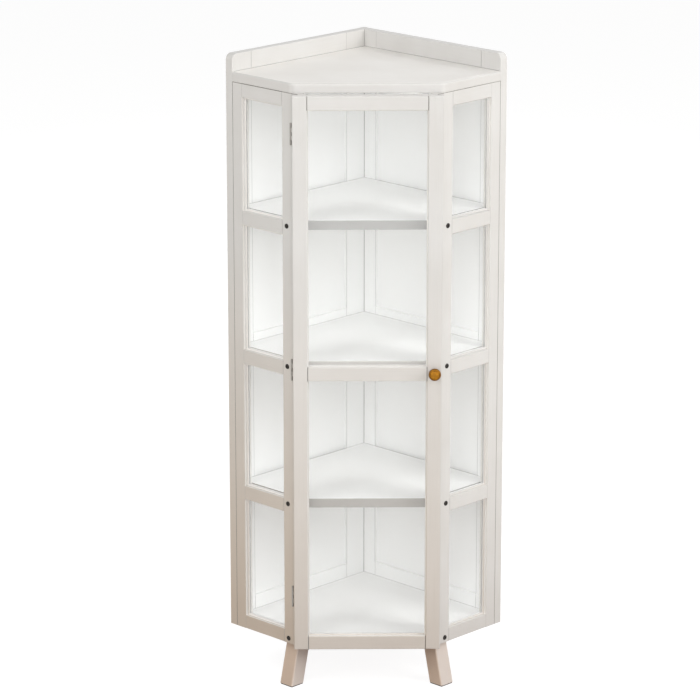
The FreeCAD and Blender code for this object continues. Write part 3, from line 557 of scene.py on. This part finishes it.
def feltFinish():
    material, nodes = newFinish("pressedFelt")
    place = nodes.place()
    tuft = nodes.noise(place, felt["tuftScale"], 5, 0.7, 1.2)
    combed = nodes.drawn(place, felt["hairWay"], felt["hairStretch"])
    hair = nodes.noise(combed, felt["hairScale"], 3, 0.7, 2.0)
    colour = nodes.mix(nodes.rise(tuft * 0.6 + hair * 0.4, *felt["tufts"]), felt["dark"],
                       felt["light"])
    nodes.output(nodes.principled(Base_Color=colour, Roughness=between(felt["roughness"], tuft),
                                  Normal=nodes.bump(tuft + hair, felt["tuftDepth"])))
    return material


# Bare beech of the dowels, with short dark flecks along the grain.
beech = {
    "light": (0.62, 0.42, 0.25),
    "dark": (0.46, 0.28, 0.15),
    "grainScale": 700,
    "grainStretch": 14,
    "grainDepth": 0.00005,
    "fleckScale": 1600,
    "fleckStretch": 5,
    "flecks": (0.62, 0.7),
    "roughness": (0.55, 0.75),
}


def beechFinish():
    material, nodes = newFinish("bareBeech")
    place = nodes.place()
    grain = nodes.noise(nodes.drawn(place, up, beech["grainStretch"]), beech["grainScale"], 5, 0.6)
    flecked = nodes.noise(nodes.drawn(place, up, beech["fleckStretch"]), beech["fleckScale"], 2)
    fleck = nodes.rise(flecked, *beech["flecks"])
    colour = nodes.mix(grain * 0.7 + fleck * 0.3, beech["light"], beech["dark"])
    nodes.output(nodes.principled(Base_Color=colour, Roughness=between(beech["roughness"], grain),
                                  Normal=nodes.bump(grain, beech["grainDepth"])))
    return material


# The framed parts: each one's stiles, its rails from the bottom up, the way from its first stile
# to its second, and the way out of its face, which is inwards for a wall.
wallRails = ("bottom_rail", "middle_rail", "top_rail")
sideRails = ("bottom_rail", "lower_rail", "middle_rail", "upper_rail", "top_rail")
framed = {
    "door": (("hinge_stile", "knob_stile"), wallRails, across, front),
    "wall_left": (("corner_stile", "outer_stile"), wallRails, alongLeft, alongRight),
    "wall_right": (("corner_stile", "outer_stile"), wallRails, alongRight, alongLeft),
    "side_left": (("rear_stile", "front_stile"), sideRails, alongRight, alongLeft),
    "side_right": (("rear_stile", "front_stile"), sideRails, alongLeft, alongRight),
}


def inwardOf(part):  # the way that a framed part's inner face looks
    out = framed[part][3]
    return out if part.startswith("wall") else -out


def partOf(name):  # the framed part that a piece belongs to, or the piece itself
    for part in framed:
        if name.startswith(part):
            return part
    return name


def bodyOf(part):
    return "door" if part == "door" else "carcass"


def grainWay(name):  # the way a painted piece's grain runs
    if name.endswith("_rail") and not name.startswith("door"):
        sameWay = name.startswith(("wall_right", "side_left"))
        return "alongRight" if sameWay else "alongLeft"
    if name.endswith(("_rail", "_shelf", "_board")):
        return "across"
    return "upright"


def whites(name):  # a piece's white, then other faces: their way, least lean to it and white
    part = partOf(name)
    # the legs take a warmer white, painted warm shade
    if name.endswith("_leg"):
        return "leg", []
    if name == "top_board":
        # the top board: paler on top, the inside white beneath, the door's darker white in front and
        # a shaded white on its other edges, painted light and shade
        return "edging", [(up, 0.92, "pale"), (-up, 0.7, "clean"), (front, 0.9, "door")]
    # the middle shelf's front edge takes the warm white, painted light where the door's middle rail
    # already shades it
    if name == "middle_shelf":
        return "clean", [(front, 0.6, "warm")]
    # the grey front edges are painted shade
    if name.endswith("_shelf") or name == "bottom_board":
        return "clean", [(front, 0.6, "lipping")]
    inward = inwardOf(part)
    along = framed[part][2]
    # the stiles' inner faces and panel edges take the inside white, painted light
    if name.endswith("corner_stile"):  # the face inside and the panel's edge
        return "warm", [((inward + along).normalized(), 0.5, "clean")]
    if name.endswith("outer_stile"):
        return "warm", [((inward - along).normalized(), 0.5, "clean")]
    # a wall's inner face takes the inside white, painted light
    if part.startswith("wall"):
        return "warm", [(inward, -0.5, "clean")]
    # the door's front takes a darker white, painted shade; inner faces, faces turned up and down and
    # the rear stiles' jambs take lighter whites, painted light
    white, within = ("door", "ledge") if part == "door" else ("warm", "clean")
    others = [(inward, 0.6, within), (up, 0.92, "ledge"), (-up, 0.3, "pale")]
    if name.endswith("rear_stile"):
        others.append((along, 0.9, "pale"))
    return white, others


def joined(*words):  # one name in camel case
    first, *rest = "_".join(words).split("_")
    return first + "".join(word[0].upper() + word[1:] for word in rest)


def paintFor(name, made):  # one finish for each part and each way of its grain
    way = grainWay(name)
    white, others = whites(name)
    words = [partOf(name), "outer", way] if name.endswith("outer_stile") else [partOf(name), way]
    key = joined(*words)
    if key not in made:
        low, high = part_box("top_board")
        top = high.z if name == "top_board" else low.z
        ways = {"upright": up, "across": across, "alongRight": alongRight, "alongLeft": alongLeft}
        above = 0.0001  # so that a face at this very height still counts
        made[key] = paintFinish(key, ways[way], white, [(*other, top + above) for other in others])
    return made[key]


def dressNodes():
    finishes = {}
    low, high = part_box("door_knob")
    finishes["clear_glass"] = glassFinish()
    finishes["aged_brass"] = brassFinish((low + high) / 2, (high.x - low.x) / 2)
    finishes["zinc_steel"] = zincFinish("zincSteel")
    finishes["hinge"] = zincFinish("agedHinge")
    finishes["dark_bolt_steel"] = boltFinish()
    finishes["white_plastic"] = nylonFinish()
    finishes["dark_felt"] = feltFinish()
    finishes["bare_dowel"] = beechFinish()
    for part in frame["record"]["subparts"]:
        name, slot = part["node"], part["material_slot"]
        finish = paintFor(name, finishes) if slot == "painted_wood" else finishes[slot]
        if name.startswith("hinge"):
            finish = finishes["hinge"]
        for place in solids[name].material_slots:
            place.material = finish
    # the outer beads' faces turned left take a paler white and the inner beads the inside white:
    # painted light
    finishes["outerBead"] = paintFinish("outerBead", up, "warm",
                                        [(-across, 0.3, "pale", cadBox[1].z)])
    finishes["innerBead"] = paintFinish("innerBead", up, "clean")
    print("finishes given")
    return finishes


def looseParts(name):  # the places of each separate solid's corners in a node
    mesh = solids[name].data
    near = {index: [] for index in range(len(mesh.vertices))}
    seams = {}
    for vertex in mesh.vertices:  # corners at one place belong together
        seams.setdefault(tuple(round(value, 6) for value in vertex.co), []).append(vertex.index)
    for edge in mesh.edges:
        first, second = edge.vertices
        near[first].append(second)
        near[second].append(first)
    for same in seams.values():
        for index in same[1:]:
            near[same[0]].append(index)
            near[index].append(same[0])
    left = set(near)
    parts = []
    while left:
        reached = [left.pop()]
        part = []
        while reached:
            index = reached.pop()
            part.append(mesh.vertices[index].co.copy())
            fresh = [other for other in near[index] if other in left]
            left.difference_update(fresh)
            reached += fresh
        parts.append(part)
    return parts


def turnTo(outward):  # a turn that takes local Z to the way out of a face
    side = up.cross(outward) if abs(outward.z) < 0.9 else across.copy()
    side.normalize()
    return Matrix((side, outward.cross(side), outward)).transposed()


def span(part, direction):
    reaches = [point.dot(direction) for point in part]
    return min(reaches), max(reaches)


def nodeSpan(name, direction):
    return span([vertex.co for vertex in solids[name].data.vertices], direction)


def seats(name, outward):  # for each solid: where its outer face is, its radius and its length
    turn = turnTo(outward)
    side, rise = turn.col[0], turn.col[1]
    found = []
    for part in looseParts(name):
        (left, right), (low, high) = span(part, side), span(part, rise)
        inner, outer = span(part, outward)
        centre = side * (left + right) / 2 + rise * (low + high) / 2 + outward * outer
        place = Matrix.Translation(centre) @ turn.to_4x4()
        found.append((place, (right - left) / 2, outer - inner))
    return found


slender = 2.5  # a fastener that runs a way is more than so many times as long as its radius


def seatsAlong(name, ways):  # in a node whose fasteners run several ways, each by its own way
    return [seat for way in ways for seat in seats(name, way) if seat[2] > slender * seat[1]]


def ringAt(built, reach, height, segments):  # reach is a radius, or a function of the angle
    ring = []
    for step in range(segments):
        angle = 2 * math.pi * step / segments
        radius = reach(angle) if callable(reach) else reach
        ring.append(built.verts.new((radius * math.cos(angle), radius * math.sin(angle), height)))
    return ring


def skin(built, ring, other):  # faces from one closed ring to the next
    count = len(ring)
    for step in range(count):
        after = (step + 1) % count
        built.faces.new((ring[step], ring[after], other[after], other[step]))


def turned(profile, segments):  # a skin through rings along local Z, closed at both ends
    built = bmesh.new()
    start, end = profile[0][1], profile[-1][1]
    rings = [ringAt(built, reach, height, segments) for reach, height in profile[1:-1]]
    for ring, other in zip(rings, rings[1:]):
        skin(built, ring, other)
    for ring, height in ((rings[0], start), (rings[-1], end)):
        tip = built.verts.new((0, 0, height))
        for step in range(segments):
            built.faces.new((ring[step], ring[(step + 1) % segments], tip))
    return built


def arc(centre, radius, start, end, steps):  # points of a profile, angles in degrees
    reach, height = centre
    points = []
    for step in range(steps + 1):
        angle = math.radians(start + (end - start) * step / steps)
        points.append((reach + radius * math.cos(angle), height + radius * math.sin(angle)))
    return points


def placed(name, made, material, body, node):  # copies of small pieces stand for a node
    built = bmesh.new()
    for single, place in made:
        start = len(built.verts)
        mesh = bpy.data.meshes.new(name)
        single.to_mesh(mesh)
        single.free()
        built.from_mesh(mesh)
        bpy.data.meshes.remove(mesh)
        built.verts.ensure_lookup_table()
        bmesh.ops.transform(built, matrix=place, verts=built.verts[start:])
    piece = newPiece(name, built, material, smooth=True)
    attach(piece, body)
    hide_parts(node)


# The knob, turned from one bar: a foot, a waisted neck and a round head with a ring in its face.
knob = {
    "foot": 0.0085,
    "footThick": 0.0026,
    "footRound": 0.0007,
    "footBreak": 0.0004,  # of the edge on the door
    "flareInset": 0.0006,
    "neck": 0.0050,
    "neckHeight": 0.0072,
    "headHeight": 0.0140,
    "headRear": 0.0100,
    "headFlare": 2.2,  # the power of its curve
    "rimRound": 0.0030,
    "faceReach": 0.0104,
    "ringWidth": 0.0012,
    "ringOuter": 0.6,  # of its width, as the next one
    "ringInner": 0.7,
    "ringRise": 0.0002,
    "domeRise": 0.0016,
    "domeFlat": 0.75,
    "shoulderDrop": 0.0006,
    "curveSteps": 9,
    "segments": 96,
}


def knobProfile(radius, reach):
    foot, thick, edge = knob["foot"], knob["footThick"], knob["footRound"]
    neck, waist, head = knob["neck"], knob["neckHeight"], knob["headHeight"]
    steps = knob["curveSteps"]
    points = [(0, 0), (foot - knob["footBreak"], 0), (foot, knob["footBreak"])]
    points += arc((foot - edge, thick - edge), edge, 0, 90, 5)
    flare = foot - edge - knob["flareInset"]
    for step in range(steps + 1):  # from the foot into the waist
        share = 1 - step / steps
        points.append((neck + (flare - neck) * share ** 2, waist - (waist - thick) * share))
    for step in range(1, steps + 1):  # from the waist out to the head
        share = step / steps
        points.append((neck + (knob["headRear"] - neck) * share ** knob["headFlare"],
                       waist + (head - waist) * share))
    rim = knob["rimRound"]
    points += arc((radius - rim, head + rim), rim, -70, 0, 7)
    shoulder = reach - knob["domeRise"] - knob["shoulderDrop"]
    points += arc((radius - rim, shoulder - rim), rim, 0, 84, 8)
    face, wide = knob["faceReach"], knob["ringWidth"]
    ring = shoulder + knob["ringRise"]
    points += [(face + wide * knob["ringOuter"], ring)]
    points += arc((face, ring), wide / 2, 0, -180, 8)
    for step in range(steps):  # the low dome inside the ring
        out = (face - wide * knob["ringInner"]) * (1 - step / steps)
        points.append((out, reach - knob["domeRise"] * (out / face) ** 2 * knob["domeFlat"]))
    return points + [(0, reach)]


def makeKnob(finish):
    low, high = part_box("door_knob")
    built = turned(knobProfile((high.x - low.x) / 2, high.y - low.y), knob["segments"])
    centre = Vector(((low.x + high.x) / 2, high.y, (low.z + high.z) / 2))
    place = Matrix.Translation(centre) @ turnTo(front).to_4x4()
    placed("turnedKnob", [(built, place)], finish, "door", "door_knob")


# Countersunk wood screws with a cross recess, rolled threads and a drill point.
screw = {
    # shares of the head's radius
    "shank": 0.5,
    "crossReach": 0.56,
    "crossWidth": 0.15,
    "crossDepth": 0.42,
    "edge": 0.05,
    # shares of the shank's radius
    "root": 0.74,  # between the threads
    "pitch": 0.62,
    "pointLength": 2.2,
    "tipLength": 0.4,
    # shares of the pitch
    "rootFrom": 0.25,
    "rootTo": 0.6,
    "threadRoom": 1.5,  # that one more thread needs over the point
    # shares of the recess's mouth
    "floorReach": 0.55,
    "floorWidth": 0.7,
    "edgeBreak": 0.4,  # of the edge
    "tip": 0.35,  # of the root's radius
    "segments": 32,
}


def crossOutline(reach, width):
    def radiusAt(angle):
        folded = abs((angle + math.pi / 4) % (math.pi / 2) - math.pi / 4)
        return min(reach / math.cos(folded), width / max(math.sin(folded), 1e-4))

    return radiusAt


def screwShape(head, length):
    shank = head * screw["shank"]
    root = shank * screw["root"]
    pitch = shank * screw["pitch"]
    edge = head * screw["edge"]
    depth = head * screw["crossDepth"]
    reach, width = head * screw["crossReach"], head * screw["crossWidth"]
    mouth = crossOutline(reach, width)
    floor = crossOutline(reach * screw["floorReach"], width * screw["floorWidth"])
    broken = edge * screw["edgeBreak"]
    points = [(0, -depth), (floor, -depth), (mouth, -broken), (head - 2 * edge, 0),
              (head - broken, -broken), (head, -edge), (head, -2 * edge)]
    height = -2 * edge - (head - shank)
    points.append((shank, height))
    height -= pitch
    points.append((shank, height))
    point = -length + screw["pointLength"] * shank
    while height - screw["threadRoom"] * pitch > point:
        points += [(root, height - pitch * screw["rootFrom"]),
                   (root, height - pitch * screw["rootTo"]), (shank, height - pitch)]
        height -= pitch
    points += [(root, point), (root * screw["tip"], -length + screw["tipLength"] * shank),
               (0, -length)]
    return turned(points, screw["segments"])


def makeScrews(name, found, finish, body, node):
    made = [(screwShape(head, length), place) for place, head, length in found]
    placed(name, made, finish, body, node)


# Dark bolts through the side frames, with low rounded heads and a hexagon socket.
bolt = {
    "flange": 1.15,  # the head's rim over its hole
    "headThick": 0.0020,
    "rimThick": 0.0005,
    "crown": 0.58,  # of the head's radius, where the rounding starts
    "crownSteps": 8,
    "socket": 0.0040,  # across the flats
    "socketDepth": 0.0016,
    "socketPoint": 1.15,  # of its depth
    "socketFloor": 0.92,  # of its width, as the next one
    "socketMouth": 1.1,
    "mouthBreak": 0.0002,
    "shank": 0.0030,
    "shankBreak": 0.0006,
    "segments": 48,
}


def hexOutline(acrossFlats):
    def radiusAt(angle):
        folded = (angle + math.pi / 6) % (math.pi / 3) - math.pi / 6
        return acrossFlats / 2 / math.cos(folded)

    return radiusAt


def boltShape(head, length):
    thick, wide, depth = bolt["headThick"], bolt["socket"], bolt["socketDepth"]
    shank, broken = bolt["shank"], bolt["shankBreak"]
    crown = head * bolt["crown"]
    points = [(0, -depth * bolt["socketPoint"]), (hexOutline(wide * bolt["socketFloor"]), -depth),
              (hexOutline(wide), -bolt["mouthBreak"]),
              (hexOutline(wide * bolt["socketMouth"]), 0)]
    for step in range(bolt["crownSteps"] + 1):
        angle = math.pi / 2 * step / bolt["crownSteps"]
        points.append((crown + (head - crown) * math.sin(angle),
                       -(thick - bolt["rimThick"]) * (1 - math.cos(angle))))
    points += [(head, -thick), (shank, -thick), (shank, -length + broken),
               (shank - broken, -length), (0, -length)]
    return turned(points, bolt["segments"])


def makeBolts(finish):
    made = [(boltShape(head * bolt["flange"], length), place)
            for place, head, length in seatsAlong("side_bolts", (alongRight, alongLeft))]
    placed("sideBolts", made, finish, "carcass", "side_bolts")


# Hinge pins with rounded ends.
pin = {
    "round": 0.0007,
    "mostRound": 0.6,  # of the radius
    "segments": 32,
}


def makePins(finish):
    made = []
    for place, radius, length in seats("hinge_pins", up):
        edge = min(pin["round"], radius * pin["mostRound"])
        points = [(0, 0)] + arc((radius - edge, -edge), edge, 90, 0, 5)
        points += arc((radius - edge, -length + edge), edge, 0, -90, 5) + [(0, -length)]
        made.append((turned(points, pin["segments"]), place))
    placed("hingePins", made, finish, "carcass", "hinge_pins")


def clearWidth(part):  # between a framed part's two stiles
    (first, second), rails, along, out = framed[part]
    return nodeSpan(f"{part}_{first}", along)[1], nodeSpan(f"{part}_{second}", along)[0]


def clearHeights(part):  # between each rail of a framed part and the next one up
    rails = framed[part][1]
    return [(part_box(f"{part}_{below}")[1].z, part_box(f"{part}_{above}")[0].z)
            for below, above in zip(rails, rails[1:])]


# Hairlines where two pieces meet: dark strips that paint the shade in each joint, corner and seam,
# mottled by noise.
joint = {
    # kind: half the width
    "door": 0.00075,
    "wall": 0.0004,
    "side": 0.0003,
    "seam": 0.0004,
    "panel": 0.0009,
    "corner": 0.0008,
    "board": 0.0006,
    "gallery": 0.0013,
    "top_left": 0.0007,
    "top_right": 0.00045,
    "lift": 0.5,  # out of an inner corner, as a share of the half width
    "edge": 0.004,  # kept clear of a board's rounded edge
    "taper": 0.8,  # the width at the surface, as a share
    "proud": 0.00004,
    "sunk": 0.0003,
    "inset": 0.0004,  # of each line's ends
    # shade: (dark, light)
    "outside": ((0.10, 0.092, 0.082), (0.17, 0.158, 0.142)),
    "inside": ((0.34, 0.335, 0.32), (0.44, 0.435, 0.42)),
    "groove": ((0.60, 0.60, 0.59), (0.67, 0.67, 0.66)),
    "dustScale": 700,
    "dustStretch": 3,
    "dustDepth": 0.00003,
    "roughness": (0.6, 0.8),
}


# painted shade for the joints: a dark finish, mottled by noise
def jointFinish(shade):
    material, nodes = newFinish(joined("sunkPaint", shade))
    mottle = nodes.noise(nodes.drawn(nodes.place(), up, joint["dustStretch"]), joint["dustScale"],
                       3, 0.6)
    colour = nodes.mix(mottle, *joint[shade])
    nodes.output(nodes.principled(Base_Color=colour, Roughness=between(joint["roughness"], mottle),
                                  Normal=nodes.bump(mottle, joint["dustDepth"])))
    return material


def hairline(built, start, end, outward, kind):
    half = joint[kind]
    run = (end - start).normalized()
    side = run.cross(outward)
    section = ((-half, -joint["sunk"]), (-half * joint["taper"], joint["proud"]),
               (half * joint["taper"], joint["proud"]), (half, -joint["sunk"]))
    inset = run * joint["inset"]
    rings = [[built.verts.new(place + side * aside + outward * depth) for aside, depth in section]
             for place in (start + inset, end - inset)]
    skin(built, *rings)
    for ring in rings:
        built.faces.new(ring)


def railLines(built, part):  # where the rails' ends meet the stiles, on both faces
    stiles, rails, along, out = framed[part]
    for rail in rails:
        low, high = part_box(f"{part}_{rail}")
        inner, outer = nodeSpan(f"{part}_{rail}", out)
        for edge in clearWidth(part):
            for face, way in ((inner, -out), (outer, out)):
                place = along * edge + out * face
                hairline(built, place + up * low.z, place + up * high.z, way, part.split("_")[0])


def seamLines(built, part):  # round a side frame: under the top board and along the wall
    stiles, rails, along, out = framed[part]
    rear = nodeSpan(f"{part}_{stiles[0]}", along)[0]
    fore = nodeSpan(f"{part}_{stiles[1]}", along)[1]
    low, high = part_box(f"{part}_{stiles[0]}")
    face = out * nodeSpan(f"{part}_{stiles[0]}", out)[1]
    under = part.replace("side", "top")
    top = face + up * (high.z - joint[under])
    hairline(built, top + along * rear, top + along * fore, out, under)
    corner = face + along * rear
    hairline(built, corner + up * low.z, corner + up * high.z, out, "seam")


def panelLines(built, part):  # where a wall's panels go into its stiles, on the inner face
    stiles, rails, along, out = framed[part]
    face = out * nodeSpan(f"{part}_{stiles[0]}", out)[1]
    for edge, inset in zip(clearWidth(part), (1, -1)):
        place = face + along * (edge - inset * joint["panel"])
        for low, high in clearHeights(part):
            hairline(built, place + up * low, place + up * high, out, "panel")


def boardLines(built, part):  # the walls' corner inside, and along each board's rear edges
    corner = Vector()
    for wall in (part + "_left", part + "_right"):
        out = framed[wall][3]
        corner += out * nodeSpan(wall + "_top_rail", out)[1]
    upright = corner + front * joint["corner"]
    hairline(built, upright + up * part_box("bottom_board")[1].z,
             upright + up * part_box("wall_left_corner_stile")[1].z, front, "corner")
    for board in ("bottom_board", "lower_shelf", "middle_shelf", "upper_shelf", "top_board"):
        kind = "gallery" if board == "top_board" else "board"
        for wall in (part + "_left", part + "_right"):
            stiles, rails, along, out = framed[wall]
            reach = nodeSpan(board, along)[1] - joint["edge"]
            slant = (up + out).normalized()
            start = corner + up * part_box(board)[1].z + slant * joint[kind] * joint["lift"]
            end = start + along * (reach - corner.dot(along))
            hairline(built, start, end, slant, kind)


# the dark strips in the joints, corners and seams are painted shade
def makeJointLines():
    finishes = {shade: jointFinish(shade) for shade in ("outside", "inside", "groove")}

    def lines(name, draw, part, shade):
        built = bmesh.new()
        draw(built, part)
        piece = newPiece(name, built, finishes[shade])
        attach(piece, bodyOf(part))

    for part in framed:
        lines(joined(part, "jointLines"), railLines, part, "outside" if part == "door" else "inside")
        if part.startswith("side"):
            lines(joined(part, "seamLines"), seamLines, part, "outside")
        if part.startswith("wall"):
            lines(joined(part, "panelLines"), panelLines, part, "groove")
    lines("boardJointLines", boardLines, "wall", "inside")


# Glazing fillets: a smooth bead of white filler round each pane, on both faces.
fillet = {
    # part: the bead's reach over the glass
    "door": 0.0022,
    "side_left": 0.0046,
    "side_right": 0.0046,
    "hollow": 4,  # steps round the bead's hollow face
    "bite": 0.0002,  # into the wood and the glass
}


def beadSection(leg):  # away from the pane's edge, and out from the glass
    steps, bite = fillet["hollow"], fillet["bite"]
    points = [(-bite, -bite), (leg, -bite)]
    for step in range(steps + 1):
        angle = math.pi / 2 * step / steps
        points.append((leg * (1 - math.sin(angle)), leg * (1 - math.cos(angle))))
    return points + [(-bite, leg)]


def beadRound(built, part, pane, face, way):  # round one pane, on one of its faces
    along, out = framed[part][2:]
    left, right = clearWidth(part)
    low, high = pane
    rings = []
    for side, height, inAlong, inUp in ((left, low, 1, 1), (right, low, -1, 1),
                                        (right, high, -1, -1), (left, high, 1, -1)):
        ring = []
        for reach, rise in beadSection(fillet[part]):
            point = along * (side + reach * inAlong) + up * (height + reach * inUp)
            ring.append(built.verts.new(point + out * (face + way * rise)))
        rings.append(ring)
    for ring, other in zip(rings, rings[1:] + rings[:1]):
        skin(built, ring, other)


def makeBeads(finishes):
    for part, glazing in (("door", "upper_glass"), ("side_left", "panes"),
                          ("side_right", "panes")):
        inner, outer = nodeSpan(f"{part}_{glazing}", framed[part][3])
        for kind, face, way in (("innerBead", inner, -1), ("outerBead", outer, 1)):
            built = bmesh.new()
            for pane in clearHeights(part):
                beadRound(built, part, pane, face, way)
            piece = newPiece(f"{part}_{kind}s", built, finishes[kind], smooth=True)
            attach(piece, bodyOf(part))


# The magnetic catch: a moulded case with rounded edges, two steel pole plates and its ears.
catch = {
    "round": 0.0016,
    "earLength": 0.0085,
    "earThick": 0.0030,
    "earInset": 0.003,
    "earRound": 0.6,  # of the case's rounding
    "poleThick": 0.0013,
    "poleDeep": 0.006,
    "poleRound": 0.0002,
    "poleProud": 0.00025,
    "poleInset": 0.0022,
}


def softBox(built, low, high, edge, segments=3):
    made = bmesh.ops.create_cube(built, size=1.0)["verts"]
    size, middle = high - low, (low + high) / 2
    for vertex in made:
        vertex.co = Vector([vertex.co[axis] * size[axis] + middle[axis] for axis in range(3)])
    edges = {line for vertex in made for line in vertex.link_edges}
    bmesh.ops.bevel(built, geom=list(edges), offset=edge, offset_type="OFFSET", segments=segments,
                    profile=0.5, affect="EDGES")


def makeCatch(finishes):
    low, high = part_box("catch_body")
    ear, thick, inset = catch["earLength"], catch["earThick"], catch["poleInset"]
    edge, aside = catch["round"], catch["earInset"]
    case = bmesh.new()
    softBox(case, Vector((low.x + ear, low.y + catch["poleProud"], low.z)),
            Vector((high.x - ear, high.y, high.z)), edge)
    for x in (low.x, high.x - ear - edge):
        softBox(case, Vector((x, low.y + aside, high.z - thick)),
                Vector((x + ear + edge, high.y - aside, high.z)), edge * catch["earRound"])
    piece = newPiece("catchCase", case, finishes["white_plastic"], smooth=True)
    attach(piece, "carcass")
    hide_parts("catch_body")
    poles = bmesh.new()
    for z in (low.z + inset, high.z - thick - inset):
        softBox(poles, Vector((low.x + ear + inset, low.y, z)),
                Vector((high.x - ear - inset, low.y + catch["poleDeep"], z + catch["poleThick"])),
                catch["poleRound"], 2)
    piece = newPiece("catchPoles", poles, finishes["zinc_steel"], smooth=True)
    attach(piece, "carcass")


makeCamera()
makeSurround()
makeLamps()
makeFloor()
print("light, floor and camera placed")
finishes = dressNodes()
makeKnob(finishes["aged_brass"])
makeScrews("knobScrew", seats("knob_screw", back), finishes["zinc_steel"], "door", "knob_screw")
makeScrews("hingeDoorScrews", seats("hinge_door_screws", back), finishes["hinge"], "door",
           "hinge_door_screws")
makeScrews("hingeFrameScrews", seats("hinge_frame_screws", front), finishes["hinge"], "carcass",
           "hinge_frame_screws")
makeScrews("wallScrews", seatsAlong("wall_screws", (-alongLeft, -alongRight)),
           finishes["zinc_steel"], "carcass", "wall_screws")
makeBolts(finishes["dark_bolt_steel"])
makePins(finishes["hinge"])
makeJointLines()
makeBeads(finishes)
makeCatch(finishes)
print("small pieces made")

scene = bpy.context.scene
scene.view_settings.view_transform = "Standard"
scene.cycles.diffuse_bounces = studio["bounces"]
